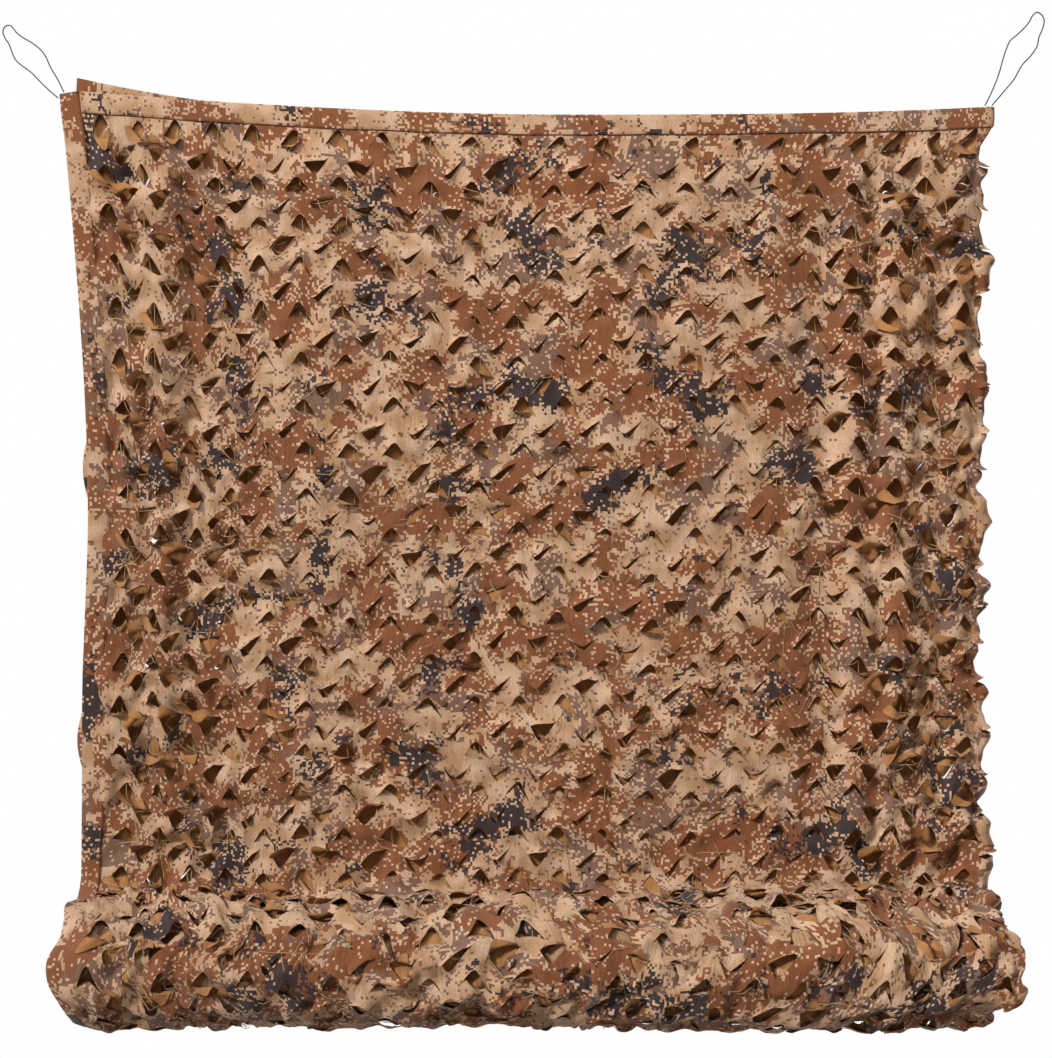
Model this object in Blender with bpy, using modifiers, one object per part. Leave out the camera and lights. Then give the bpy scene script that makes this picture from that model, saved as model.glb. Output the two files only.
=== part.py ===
"""Camouflage netting hung by its top edge, with the rest of its length wound in a roll at its foot.

The net is a wide leaf-cut cloth with a folded binding sewn round its edge, folded once lengthwise, so
that two layers hang with the fold on the right (+X) and the bound edges on the left.  Each layer curves
forward through a valley into the roll.  Two thin cord loops stand at the top corners.

Metres, +Z up, +X to the viewer's right, -Y towards the viewer.  The origin is the middle of the top edge.
"""

import math

import bmesh
import bpy
import numpy as np

COLLECTION = "camouflage_netting"

# Cloth and binding
CLOTH_THICKNESS = 0.002
BINDING_THICKNESS = 0.001
BINDING_WIDTH = 0.031
CLEARANCE = 0.0003
BINDING_OUT = CLOTH_THICKNESS / 2 + CLEARANCE + BINDING_THICKNESS / 2  # from mid cloth to mid binding
BORDER = BINDING_WIDTH + 0.0005  # uncut cloth under and just beyond a binding

# The hanging part
LAYER_GAP_TOP = 0.009  # between the middles of the two layers
LAYER_GAP_FOOT = 0.006
SAG_LEFT = 0.037  # rise of the top edge from its middle to each corner
SAG_RIGHT = 0.013
SAG_MIDDLE_X = 0.05
SAG_LEFT_LENGTH = 0.76
SAG_RIGHT_LENGTH = 0.70
CORNER_X = -0.715  # the left corner droops beyond this
CORNER_DROOP = 0.25
SAG_FADE = 0.6  # drop at which the rows of the cloth have become level
BACK_CORNER_RISE = 0.0225
BACK_RISE_START_X = -0.48
BACK_RISE_LENGTH = 0.24
BACK_INSET = 0.009  # how far the back layer's left edge lies inside the front one's
BACK_CORNER_INSET = 0.017
BACK_CORNER_FADE = 0.10
BACK_PLACES = (  # columns of the uncut back layer, set at the soft folds
    0.670, 0.600, 0.540, 0.480, 0.420, 0.290, 0.200, 0.100, -0.005, -0.080, -0.160, -0.260, -0.330, -0.420,
    -0.500, -0.570, -0.620,
)  # fmt: skip

# The roll and the valley above it
ROLL_RADIUS = 0.100
ROLL_STEP = 0.010  # what one turn of the two layers adds to the radius
ROLL_FORWARD = 0.104
ROLL_DROP = 1.3335
ROLL_FLOOR = -1.4265
ROLL_MIDDLE = 0.010  # middle of its length, and half of it
ROLL_HALF = 0.712
VALLEY_RADIUS = 0.040
VALLEY_SHARES = (0.0, 0.26, 0.52, 0.77, 1.0)  # rows of cloth through the valley

# The leaf cuts, drawn at twice the pitch of the real ones
CUT_PITCH_X = 0.1341
CUT_PITCH_Z = 0.138
CUT_HANGING = 0.050  # from a row of upright leaves down to the row of hanging ones that shares its band
CUT_WAVE = 0.034  # rise and fall of a row of cuts about its middle
CUT_COLUMNS = 4  # columns of faces in one pitch
CUT_REACH = 1  # columns cut on each side of a leaf's tip
CUT_GAP = (0.014, 0.003)  # opening at the tip of a leaf and at the ends of its legs
LEAF_LIFT = (0.011, 0.0)  # how far the leaf curls forward at the same places
CUT_TOP_DROP = 0.092
CUT_ROWS = 8
CUT_LEFT_X = -0.655
CUT_PERIODS = 10

# The cord loops
CORD_DIAMETER = 0.0022
CORD_STEP = 3.0  # spacing of the points along a cord, in diameters

# Side edges of the folded net: drop, left edge, right edge
EDGE_ROWS = (
    (0.00, -0.7455, 0.7530),
    (0.03, -0.7425, 0.7510),
    (0.06, -0.7382, 0.7330),
    (0.14, -0.7300, 0.7270),
    (0.25, -0.7200, 0.7250),
    (0.33, -0.7136, 0.7245),
    (0.46, -0.7050, 0.7235),
    (0.56, -0.7010, 0.7240),
    (0.66, -0.7000, 0.7240),
    (0.78, -0.7040, 0.7245),
    (0.90, -0.7085, 0.7255),
    (1.09, -0.7095, 0.7270),
    (1.30, -0.7110, 0.7270),
)

# Where the back layer's left edge slips out beyond the front one: drop, half height, amount
SLIPS = (
    (0.57, 0.09, 0.018),
    (1.00, 0.09, 0.018),
)

# Soft folds of the hanging cloth: place across, lean per metre of drop, half width, depth (+ is a trough),
# drop where it starts, drop where it ends
FOLDS = (
    (0.480, 0.008, 0.060, 0.016, 0.04, 1.18),
    (0.600, -0.008, 0.070, -0.011, 0.08, 1.15),
    (0.200, 0.010, 0.150, -0.008, 0.06, 1.18),
    (-0.080, -0.010, 0.120, 0.007, 0.10, 1.15),
    (-0.330, 0.010, 0.110, -0.009, 0.05, 1.18),
    (-0.500, 0.010, 0.070, 0.010, 0.08, 1.18),
    (-0.610, 0.005, 0.050, -0.006, 0.10, 1.10),
)

# Where the ends of the roll stand: angle round the roll, from the back over the top, left end, right end
ROLL_END_ROWS = (
    (61.0, -0.7130, 0.7240),
    (100.0, -0.7080, 0.7130),
    (122.0, -0.7012, 0.7160),
    (142.0, -0.7015, 0.7440),
    (165.0, -0.7170, 0.7490),
    (185.0, -0.7150, 0.7380),
    (205.0, -0.7020, 0.7270),
    (225.0, -0.6930, 0.7050),
    (250.0, -0.6890, 0.7030),
    (290.0, -0.6960, 0.7140),
    (350.0, -0.7080, 0.7230),
    (421.0, -0.7130, 0.7240),
)

# Lumps and slack twists of the wound cloth: place along, angle, half length, half angle, height, angle
# gained per metre along
ROLL_LUMPS = (
    (-0.60, 170.0, 0.16, 60.0, 0.004, 0.0),
    (-0.30, 215.0, 0.20, 40.0, -0.004, 120.0),
    (-0.08, 150.0, 0.18, 50.0, 0.004, -60.0),
    (0.20, 205.0, 0.16, 45.0, -0.005, 140.0),
    (0.42, 160.0, 0.17, 50.0, 0.004, 0.0),
    (0.63, 220.0, 0.12, 50.0, -0.004, -120.0),
    (0.05, 325.0, 0.50, 40.0, -0.004, 0.0),
)

# From the side of the roll to the middle of its end: how far in from the end, share of the radius
ROLL_END_PROFILE = (
    (0.070, 1.000),
    (0.020, 1.000),
    (0.006, 0.985),
    (0.000, 0.955),
    (0.003, 0.800),
    (0.010, 0.450),
)
ROLL_SIDES = 30
ROLL_INNER_STATIONS = 15
ROLL_BINDING_END = 250.0  # angle at which the bound edge turns under the roll
ROLL_END_SHARE = 0.96  # the end faces start inside this share of the radius
ROLL_END_CLEARANCE = 0.0016
ROLL_LUMP_FADE = 0.100  # lumps die out over this length before each end

# The loops as they stand: across, up
LEFT_LOOP = (
    (-0.7480, 0.0270), (-0.7648, 0.0416), (-0.7800, 0.0565), (-0.7920, 0.0688), (-0.8040, 0.0775),
    (-0.8170, 0.0892), (-0.8224, 0.1008), (-0.8272, 0.1136), (-0.8345, 0.1255), (-0.8368, 0.1344),
    (-0.8340, 0.1412), (-0.8275, 0.1440), (-0.8215, 0.1405), (-0.8160, 0.1330), (-0.8080, 0.1264),
    (-0.7872, 0.1136), (-0.7744, 0.1024), (-0.7688, 0.0944), (-0.7616, 0.0784), (-0.7504, 0.0592),
    (-0.7388, 0.0360),
)  # fmt: skip
RIGHT_LOOP = (
    (0.7338, 0.0144), (0.7456, 0.0384), (0.7584, 0.0720), (0.7632, 0.0896), (0.7696, 0.1088),
    (0.7745, 0.1190), (0.7848, 0.1280), (0.7952, 0.1376), (0.8048, 0.1488), (0.8112, 0.1600),
    (0.8176, 0.1648), (0.8240, 0.1616), (0.8288, 0.1536), (0.8272, 0.1408), (0.8208, 0.1248),
    (0.8176, 0.1104), (0.8096, 0.0976), (0.7936, 0.0800), (0.7808, 0.0576), (0.7664, 0.0400),
    (0.7450, 0.0152),
)  # fmt: skip


def smooth(at, places, values):
    """Read a table of values at given places as one smooth curve (cubic Hermite)."""
    places, values = np.array(places, float), np.array(values, float)
    slopes = np.gradient(values, places)
    i = np.clip(np.searchsorted(places, at) - 1, 0, len(places) - 2)
    step = places[i + 1] - places[i]
    t = np.clip((at - places[i]) / step, 0.0, 1.0)
    ends = values[i] * (1 + 2 * t) * (1 - t) ** 2 + values[i + 1] * t**2 * (3 - 2 * t)
    return ends + step * t * (1 - t) * (slopes[i] * (1 - t) - slopes[i + 1] * t)


def bump(t):
    """A soft hump: 1 at 0, level and 0 at -1 and 1."""
    return np.clip(1.0 - t * t, 0.0, 1.0) ** 2


def ramp(t):
    """A soft step from 0 to 1 as t goes from 0 to 1."""
    t = np.clip(t, 0.0, 1.0)
    return t * t * (3.0 - 2.0 * t)


# --- the hanging path and its cloth -------------------------------------------------------------


def top_height(x, back=False):
    """Height of the top edge, sagging between its corners; the back layer's corner stands higher."""
    left = SAG_LEFT * np.clip((SAG_MIDDLE_X - x) / SAG_LEFT_LENGTH, 0.0, None) ** 1.7
    right = SAG_RIGHT * np.clip((x - SAG_MIDDLE_X) / SAG_RIGHT_LENGTH, 0.0, None) ** 3
    if back:
        corner = np.clip((BACK_RISE_START_X - x) / BACK_RISE_LENGTH, 0.0, None) ** 1.4
        return left + right + BACK_CORNER_RISE * corner
    return left + right - CORNER_DROOP * np.clip(CORNER_X - x, 0.0, None)


def valley():
    """Drop at which the cloth leaves the vertical, and the angle it turns before it meets the roll."""
    reach = VALLEY_RADIUS + ROLL_RADIUS - CLOTH_THICKNESS / 2
    across = ROLL_FORWARD - VALLEY_RADIUS
    start = ROLL_DROP - math.sqrt(reach**2 - across**2)
    return start, math.pi - math.atan2(ROLL_DROP - start, across)


VALLEY_START, VALLEY_TURN = valley()
PATH_END = VALLEY_START + VALLEY_RADIUS * VALLEY_TURN
ROLL_START_ANGLE = 180.0 - math.degrees(VALLEY_TURN)


def hang(x, drop, back=False):
    """Point on the hanging path, and the direction that points from the front layer to the back one.

    The path runs straight down and then forward through the valley, round a centre in front of it.
    Rows of the cloth follow the top edge and have become level at SAG_FADE.
    """
    length = drop - top_height(x, back) * np.clip(1.0 - drop / SAG_FADE, 0.0, 1.0)
    turn = max(length - VALLEY_START, 0.0) / VALLEY_RADIUS
    y = VALLEY_RADIUS * (math.cos(turn) - 1.0)
    z = -min(length, VALLEY_START) - VALLEY_RADIUS * math.sin(turn)
    return np.array((x, y, z)), np.array((0.0, math.cos(turn), -math.sin(turn)))


def fold_depth(x, drop):
    """How far the soft folds push the cloth back (+) or forward (-)."""
    depth = 0.0
    for at, lean, half_width, amount, start, end in FOLDS:
        middle = at + lean * (drop - (start + end) / 2)
        fade = ramp((drop - start) / 0.12) * ramp((end - drop) / 0.15)
        depth += amount * fade * bump((x - middle) / half_width)
    return depth


def layer_gap(drop):
    """Distance between the middles of the two layers."""
    return LAYER_GAP_TOP + (LAYER_GAP_FOOT - LAYER_GAP_TOP) * ramp(drop / PATH_END)


def left_edge(drop, back=False):
    """Left edge of a layer; the back one lies a little inside the front one and slips out in places."""
    x = smooth(drop, [row[0] for row in EDGE_ROWS], [row[1] for row in EDGE_ROWS])
    if back:
        x += BACK_INSET + BACK_CORNER_INSET * math.exp(-drop / BACK_CORNER_FADE)
        x -= sum(amount * bump((drop - at) / half) for at, half, amount in SLIPS)
    return x


def right_edge(drop):
    return smooth(drop, [row[0] for row in EDGE_ROWS], [row[2] for row in EDGE_ROWS])


def cloth(column, drop, out=0.0):
    """Point of the folded cloth's middle surface, or of a surface that lies out metres outside it.

    A column is its kind and a value: the distance in from a layer's left edge, a place across, or the
    angle round the fold from the front.
    """
    kind, value = column
    gap = layer_gap(drop)
    if kind == "fold":
        angle = math.radians(value - 90.0)
        middle_x = right_edge(drop) - CLOTH_THICKNESS / 2 - gap / 2
        point, inward = hang(middle_x + (gap / 2 + out) * math.cos(angle), drop)
        return point + inward * (gap / 2 + (gap / 2 + out) * math.sin(angle))
    back = kind.startswith("back")
    x = value + left_edge(drop, back) if kind.endswith("left") else value
    point, inward = hang(x, drop, back)
    return point + inward * (fold_depth(x, drop) + (gap + out if back else -out))


FRONT_BORDER = [("front left", 0.0), ("front left", BORDER)]
FRONT_COLUMNS = [
    ("front", CUT_LEFT_X + i * CUT_PITCH_X / CUT_COLUMNS) for i in range(CUT_PERIODS * CUT_COLUMNS + 1)
]
FOLD_COLUMNS = [("fold", angle) for angle in (0.0, 45.0, 90.0, 135.0, 180.0)]
BACK_COLUMNS = [("back", x) for x in BACK_PLACES]
BACK_BORDER = [("back left", BORDER), ("back left", 0.0)]
COLUMNS = FRONT_BORDER + FRONT_COLUMNS + FOLD_COLUMNS + BACK_COLUMNS + BACK_BORDER
VALLEY_DROPS = [VALLEY_START + share * (PATH_END - CLEARANCE - VALLEY_START) for share in VALLEY_SHARES]


# --- building meshes ------------------------------------------------------------------------------


def new_material(name, colour, roughness):
    material = bpy.data.materials.new(name)
    material.use_nodes = True
    shader = material.node_tree.nodes["Principled BSDF"]
    shader.inputs["Base Color"].default_value = (*colour, 1.0)
    shader.inputs["Roughness"].default_value = roughness
    shader.inputs["Metallic"].default_value = 0.0
    material.diffuse_color = (*colour, 1.0)
    return material


def add_object(name, data, material, collection):
    data.materials.append(material)
    made = bpy.data.objects.new(name, data)
    collection.objects.link(made)
    return made


def shaped_grid(points):
    """A bmesh grid whose vertices take the places in points[row][column]."""
    rows, columns = len(points), len(points[0])
    mesh = bmesh.new()
    bmesh.ops.create_grid(mesh, x_segments=columns - 1, y_segments=rows - 1, size=1.0)
    for vertex in mesh.verts:
        column = round((vertex.co.x + 1.0) / 2.0 * (columns - 1))
        row = round((vertex.co.y + 1.0) / 2.0 * (rows - 1))
        vertex.co = points[row][column]
    return mesh


def add_sheet(name, mesh, thickness, material, collection, even=False):
    """Give an open surface its thickness, half on each side."""
    bmesh.ops.triangulate(mesh, faces=mesh.faces)
    bmesh.ops.recalc_face_normals(mesh, faces=mesh.faces)
    data = bpy.data.meshes.new(name)
    mesh.to_mesh(data)
    mesh.free()
    made = add_object(name, data, material, collection)
    solid = made.modifiers.new("Thickness", "SOLIDIFY")
    solid.thickness = thickness
    solid.offset = 0.0
    solid.use_even_offset = even
    return made


# --- the net sheet ----------------------------------------------------------------------------------


def cut_wave(place):
    """Zigzag of a row of cuts: 1 at an upright leaf's tip, -1 at a hanging one's, 0 at both ends."""
    period = place / CUT_PITCH_X
    fade = min(1.0, CUT_COLUMNS * period, CUT_COLUMNS * (CUT_PERIODS - period))
    return (1.0 - 4.0 * abs(period % 1.0 - 0.5)) * fade


def cut_drop(row):
    """Drop of the middle of a row of cuts; upright and hanging rows take turns."""
    return CUT_TOP_DROP + row // 2 * CUT_PITCH_Z + row % 2 * CUT_HANGING


def columns_from_tip(index, hanging):
    """Columns from the leaf tip that a column of the cuts belongs to; None where nothing is cut."""
    tip_at = 0 if hanging else CUT_COLUMNS // 2
    away = (index - tip_at + CUT_COLUMNS // 2) % CUT_COLUMNS - CUT_COLUMNS // 2
    inside = CUT_REACH <= index - away <= CUT_PERIODS * CUT_COLUMNS - CUT_REACH
    return away if inside and abs(away) <= CUT_REACH else None


def sheet_row(drop, side, hanging):
    """One row of the sheet's points; side -1 or 1 is the upper or lower edge of a cut, 0 is neither."""
    line = []
    for number, column in enumerate(COLUMNS):
        index = number - len(FRONT_BORDER)
        rise, gap, lift = 0.0, CUT_GAP[-1], 0.0
        if side and 0 <= index < len(FRONT_COLUMNS):
            rise = CUT_WAVE * cut_wave(column[1] - CUT_LEFT_X)
            away = columns_from_tip(index, hanging)
            if away is not None:
                gap = CUT_GAP[abs(away)]
                lift = LEAF_LIFT[abs(away)] if side == (-1 if hanging else 1) else 0.0
        line.append(cloth(column, drop - rise + side * gap / 2, out=lift))
    return line


def make_net_sheet(collection):
    """The two hanging layers and the fold between them in one piece, the front one cut along its leaves."""
    points = [sheet_row(0.0, 0, False), sheet_row(BORDER, 0, False)]
    cut_faces = []
    for row in range(2 * CUT_ROWS):
        hanging = row % 2 == 1
        middle = cut_drop(row)
        for index in range(len(FRONT_COLUMNS) - 1):
            here, beside = columns_from_tip(index, hanging), columns_from_tip(index + 1, hanging)
            if here is not None and beside is not None and beside > here:
                cut_faces.append((len(points), index + len(FRONT_BORDER)))
        points += [sheet_row(middle, -1, hanging), sheet_row(middle, 1, hanging)]
    points += [sheet_row(drop, 0, False) for drop in VALLEY_DROPS]

    mesh = shaped_grid(points)
    mesh.faces.ensure_lookup_table()
    in_a_row = len(COLUMNS) - 1
    doomed = [mesh.faces[row * in_a_row + column] for row, column in cut_faces]
    bmesh.ops.delete(mesh, geom=doomed, context="FACES_ONLY")
    material = new_material("net_cloth", (0.52, 0.36, 0.22), 0.85)
    return add_sheet("net_sheet", mesh, CLOTH_THICKNESS, material, collection)


# --- the bindings -----------------------------------------------------------------------------------

# Section of a strip folded over an edge: distance in from the edge, distance out from mid cloth
BINDING_OVER = -CLEARANCE - BINDING_THICKNESS / 2
BINDING_SECTION = (
    (BINDING_WIDTH, BINDING_OUT),
    (BINDING_OVER, BINDING_OUT),
    (BINDING_OVER, -BINDING_OUT),
    (BINDING_WIDTH, -BINDING_OUT),
)


def make_top_binding(collection):
    """The folded strip over the top edge, from the front side binding round the fold to the back one."""
    points = [[cloth(column, drop, out) for column in COLUMNS[1:-1]] for drop, out in BINDING_SECTION]
    material = new_material("top_binding_cloth", (0.40, 0.24, 0.15), 0.85)
    return add_sheet("top_binding", shaped_grid(points), BINDING_THICKNESS, material, collection, even=True)


def make_side_binding(name, kind, colour, collection):
    """The folded strip over a layer's left edge, from the top corner down through the valley to the roll."""
    cut_drops = [cut_drop(row) + side * CUT_GAP[-1] / 2 for row in range(2 * CUT_ROWS) for side in (-1, 1)]
    drops = [-CLEARANCE - BINDING_THICKNESS, 0.0, BORDER, *cut_drops, *VALLEY_DROPS]
    points = [[cloth((kind, inset), drop, out) for inset, out in BINDING_SECTION] for drop in drops]
    material = new_material(f"{name}_cloth", colour, 0.85)
    return add_sheet(name, shaped_grid(points), BINDING_THICKNESS, material, collection, even=True)


# --- the roll ---------------------------------------------------------------------------------------


def roll_lumps(angle, x, ends):
    """Height of the lumps and slack twists of the wound cloth, which die out at the lip and at the ends."""
    fade = ramp((angle - ROLL_START_ANGLE) / 40.0) * ramp((ROLL_START_ANGLE + 360.0 - angle) / 40.0)
    fade *= ramp((x - ends[0]) / ROLL_LUMP_FADE - 1.0) * ramp((ends[1] - x) / ROLL_LUMP_FADE - 1.0)
    return fade * sum(
        height * bump((x - at) / half_length) * bump((angle - middle - twist * (x - at)) / half_angle)
        for at, middle, half_length, half_angle, height, twist in ROLL_LUMPS
    )


def roll_point(angle, x, share=1.0, out=0.0):
    """Point of the roll's spiral side at an angle from the back over the top, or inside or outside it."""
    radius = ROLL_RADIUS - ROLL_STEP * (angle - ROLL_START_ANGLE) / 360.0
    radius = (radius + roll_lumps(angle, x, (ROLL_MIDDLE - ROLL_HALF, ROLL_MIDDLE + ROLL_HALF))) * share + out
    y = -ROLL_FORWARD + radius * math.cos(math.radians(angle))
    z = -ROLL_DROP + radius * math.sin(math.radians(angle))
    return np.array((x, y, max(z, ROLL_FLOOR)))


def roll_end(angle, side, inset, share=1.0):
    """Place along of the roll's left (-1) or right (1) end, which evens out towards its middle."""
    angles = [row[0] for row in ROLL_END_ROWS]
    end = smooth(angle, angles, [row[1 if side < 0 else 2] for row in ROLL_END_ROWS])
    flat = ROLL_MIDDLE + side * ROLL_HALF
    return flat + (end - flat) * share - side * inset


def make_roll(collection):
    """The wound length of the net: a spiral section with a lip where the hanging cloth arrives, along X."""
    angles = [ROLL_START_ANGLE + 360.0 * i / ROLL_SIDES for i in range(ROLL_SIDES + 1)]
    first_inset = ROLL_END_PROFILE[0][0]
    points = []
    for inset, share in reversed(ROLL_END_PROFILE):
        points.append([roll_point(a, roll_end(a, -1, inset, share), share) for a in angles])
    for station in range(1, ROLL_INNER_STATIONS + 1):
        along = station / (ROLL_INNER_STATIONS + 1)
        line = []
        for angle in angles:
            left, right = roll_end(angle, -1, first_inset), roll_end(angle, 1, first_inset)
            line.append(roll_point(angle, left + (right - left) * along))
        points.append(line)
    for inset, share in ROLL_END_PROFILE:
        points.append([roll_point(a, roll_end(a, 1, inset, share), share) for a in angles])

    mesh = shaped_grid([[*line, line[0]] for line in points])
    bmesh.ops.remove_doubles(mesh, verts=mesh.verts, dist=1e-6)
    rims = [edge for edge in mesh.edges if edge.is_boundary]
    caps = bmesh.ops.holes_fill(mesh, edges=rims, sides=0)["faces"]
    bmesh.ops.poke(mesh, faces=caps)
    bmesh.ops.triangulate(mesh, faces=mesh.faces)
    bmesh.ops.recalc_face_normals(mesh, faces=mesh.faces)
    data = bpy.data.meshes.new("net_roll")
    mesh.to_mesh(data)
    mesh.free()
    material = new_material("roll_cloth", (0.50, 0.34, 0.21), 0.85)
    return add_object("net_roll", data, material, collection)


def make_roll_binding(collection):
    """The bound edge of the roll's outer turn, from the lip over the front and under, out to its end."""
    out = CLEARANCE + BINDING_THICKNESS / 2
    section = [(BINDING_WIDTH, 1.0)] + [row for row in ROLL_END_PROFILE if row[0] < BINDING_WIDTH][:3]
    turns = int((ROLL_BINDING_END - ROLL_START_ANGLE) * ROLL_SIDES / 360.0)
    points = []
    for i in range(turns + 1):
        angle = ROLL_START_ANGLE + 360.0 * i / ROLL_SIDES
        line = []
        for inset, share in section:
            sideways = ROLL_END_CLEARANCE if share < ROLL_END_SHARE else 0.0
            line.append(roll_point(angle, roll_end(angle, -1, inset, share) - sideways, share, out))
        points.append(line)
    material = new_material("roll_binding_cloth", (0.55, 0.40, 0.26), 0.85)
    return add_sheet("roll_binding", shaped_grid(points), BINDING_THICKNESS, material, collection, even=True)


# --- the cord loops ---------------------------------------------------------------------------------


def even_route(route, step):
    """Points an even step apart on a smooth curve through a route's own points."""
    route = np.array([(x, 0.0, z) for x, z in route])
    along = np.concatenate([[0.0], np.cumsum(np.linalg.norm(np.diff(route, axis=0), axis=1))])
    fine = np.stack([smooth(np.linspace(0.0, along[-1], 2000), along, route[:, k]) for k in range(3)], axis=1)
    length = np.concatenate([[0.0], np.cumsum(np.linalg.norm(np.diff(fine, axis=0), axis=1))])
    at = np.linspace(0.0, length[-1], round(length[-1] / step) + 1)
    return np.stack([np.interp(at, length, fine[:, k]) for k in range(3)], axis=1)


def make_loop(name, route, colour, collection):
    """A loop of thin cord whose two ends are sewn to a corner of the net."""
    points = even_route(route, CORD_STEP * CORD_DIAMETER)
    curve = bpy.data.curves.new(name, "CURVE")
    curve.dimensions = "3D"
    curve.bevel_depth = CORD_DIAMETER / 2
    curve.bevel_resolution = 2
    curve.use_fill_caps = True
    spline = curve.splines.new("POLY")
    spline.points.add(len(points) - 1)
    for point, place in zip(spline.points, points):
        point.co = (*place, 1.0)
    return add_object(name, curve, new_material(f"{name}_cord", colour, 0.7), collection)


def main():
    for old in list(bpy.data.objects):
        bpy.data.objects.remove(old, do_unlink=True)
    collection = bpy.data.collections.new(COLLECTION)
    bpy.context.scene.collection.children.link(collection)

    make_net_sheet(collection)
    make_roll(collection)
    make_top_binding(collection)
    make_side_binding("front_side_binding", "front left", (0.52, 0.38, 0.25), collection)
    make_side_binding("back_side_binding", "back left", (0.42, 0.30, 0.20), collection)
    make_roll_binding(collection)
    make_loop("corner_loop_left", LEFT_LOOP, (0.16, 0.16, 0.10), collection)
    make_loop("corner_loop_right", RIGHT_LOOP, (0.16, 0.15, 0.09), collection)


main()
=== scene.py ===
import math

import bpy
import numpy as np
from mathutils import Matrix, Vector


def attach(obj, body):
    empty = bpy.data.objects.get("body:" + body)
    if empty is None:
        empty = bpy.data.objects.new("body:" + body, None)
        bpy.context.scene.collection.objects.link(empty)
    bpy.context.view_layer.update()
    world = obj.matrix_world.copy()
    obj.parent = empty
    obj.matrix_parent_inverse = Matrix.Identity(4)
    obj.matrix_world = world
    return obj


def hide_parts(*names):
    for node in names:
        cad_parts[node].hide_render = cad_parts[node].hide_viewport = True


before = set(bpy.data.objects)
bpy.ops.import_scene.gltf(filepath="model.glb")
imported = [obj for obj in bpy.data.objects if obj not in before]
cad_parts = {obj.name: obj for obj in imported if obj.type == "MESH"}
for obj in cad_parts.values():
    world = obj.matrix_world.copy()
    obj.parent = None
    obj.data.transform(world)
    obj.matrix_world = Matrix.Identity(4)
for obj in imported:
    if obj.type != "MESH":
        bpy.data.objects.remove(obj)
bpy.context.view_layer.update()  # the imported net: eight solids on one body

scene = bpy.context.scene
print("frame: loaded")

# The camera stands square to the net, level with its middle.
viewpoint = {"place": (0.0, -3.0, -0.662), "lens": 63.8, "sensor": 36.0}
cameraData = bpy.data.cameras.new("camera")
cameraData.lens = viewpoint["lens"]
cameraData.sensor_width = viewpoint["sensor"]
camera = bpy.data.objects.new("camera", cameraData)
camera.location = viewpoint["place"]
camera.rotation_euler = (math.pi / 2, 0.0, 0.0)
scene.collection.objects.link(camera)
scene.camera = camera


# Curves and noise that every piece uses.

def softStep(t):  # 0 to 1 along a smooth S: t squared times 3 - 2t
    t = np.clip(t, 0.0, 1.0)
    return t * t * (3.0 - 2.0 * t)


def rise(x, start, over):  # 0 until start and 1 from start + over, along the smooth S
    return softStep((x - start) / over)


def fall(x, end, over):  # 1 until end - over and 0 from end
    return softStep((end - x) / over)


def hump(t):  # 1 at 0, level and 0 at -1 and 1: 1 - t squared, squared
    return np.clip(1.0 - t * t, 0.0, None) ** 2


def smoothTable(at, table, column):  # cubic Hermite curve through a table's rows, place in column 0
    places = np.array([row[0] for row in table], float)
    values = np.array([row[column] for row in table], float)
    slopes = np.gradient(values, places)
    i = np.clip(np.searchsorted(places, at) - 1, 0, len(places) - 2)
    step = places[i + 1] - places[i]
    t = np.clip((at - places[i]) / step, 0.0, 1.0)
    ends = values[i] * (1 + 2 * t) * (1 - t) ** 2 + values[i + 1] * t**2 * (3 - 2 * t)
    return ends + step * t * (1 - t) * (slopes[i] * (1 - t) - slopes[i + 1] * t)


def softNoise(u, v, cell, seed):  # -1 to 1: random values on a lattice of this cell, joined by soft steps
    table = np.random.default_rng(seed).uniform(-1.0, 1.0, (64, 64))
    across, down = np.asarray(u) / cell[0], np.asarray(v) / cell[1]
    i, j = np.floor(across).astype(int), np.floor(down).astype(int)
    a, b = softStep(across - i), softStep(down - j)
    upper = table[i % 64, j % 64] * (1 - a) + table[(i + 1) % 64, j % 64] * a
    lower = table[i % 64, (j + 1) % 64] * (1 - a) + table[(i + 1) % 64, (j + 1) % 64] * a
    return upper * (1 - b) + lower * b


def noiseSum(u, v, rows):  # the sum of amount times soft noise; a row is amount, cell, seed
    return sum(amount * softNoise(u, v, cell, seed) for amount, cell, seed in rows)


def creaseNoise(u, v, cell, seed, turn):
    # sharp lines among soft swells: 0.66 - 2 |soft noise|, its lattice turned
    across = u * math.cos(turn) + v * math.sin(turn)
    down = v * math.cos(turn) - u * math.sin(turn)
    return 0.66 - 2.0 * np.abs(softNoise(across, down, (cell, cell * 1.15), seed))


def meshPiece(name, points, faces, uv, material):
    # Quads over points, shaded smooth. uv is the cloth's own metres, for each point or for each face's
    # corners.
    mesh = bpy.data.meshes.new(name)
    corners = uv[faces] if uv.ndim == 2 else uv
    used, faces = np.unique(faces, return_inverse=True)
    faces = faces.reshape(-1, 4)
    mesh.vertices.add(len(used))
    mesh.vertices.foreach_set("co", points[used].astype(np.float32).ravel())
    mesh.loops.add(faces.size)
    mesh.loops.foreach_set("vertex_index", faces.astype(np.int32).ravel())
    mesh.polygons.add(len(faces))
    mesh.polygons.foreach_set("loop_start", np.arange(0, faces.size, 4, dtype=np.int32))
    mesh.update(calc_edges=True)
    mesh.polygons.foreach_set("use_smooth", np.ones(len(faces), bool))
    mesh.uv_layers.new(name="cloth").data.foreach_set("uv", corners.astype(np.float32).ravel())
    mesh.materials.append(material)
    made = bpy.data.objects.new(name, mesh)
    scene.collection.objects.link(made)
    return made


def gridFaces(rows, columns):  # quads over a block of rows by columns of points
    j, i = np.meshgrid(np.arange(rows - 1), np.arange(columns - 1), indexing="ij")
    corner = j * columns + i
    return np.stack([corner, corner + columns, corner + columns + 1, corner + 1], axis=-1).reshape(-1, 4)


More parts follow.
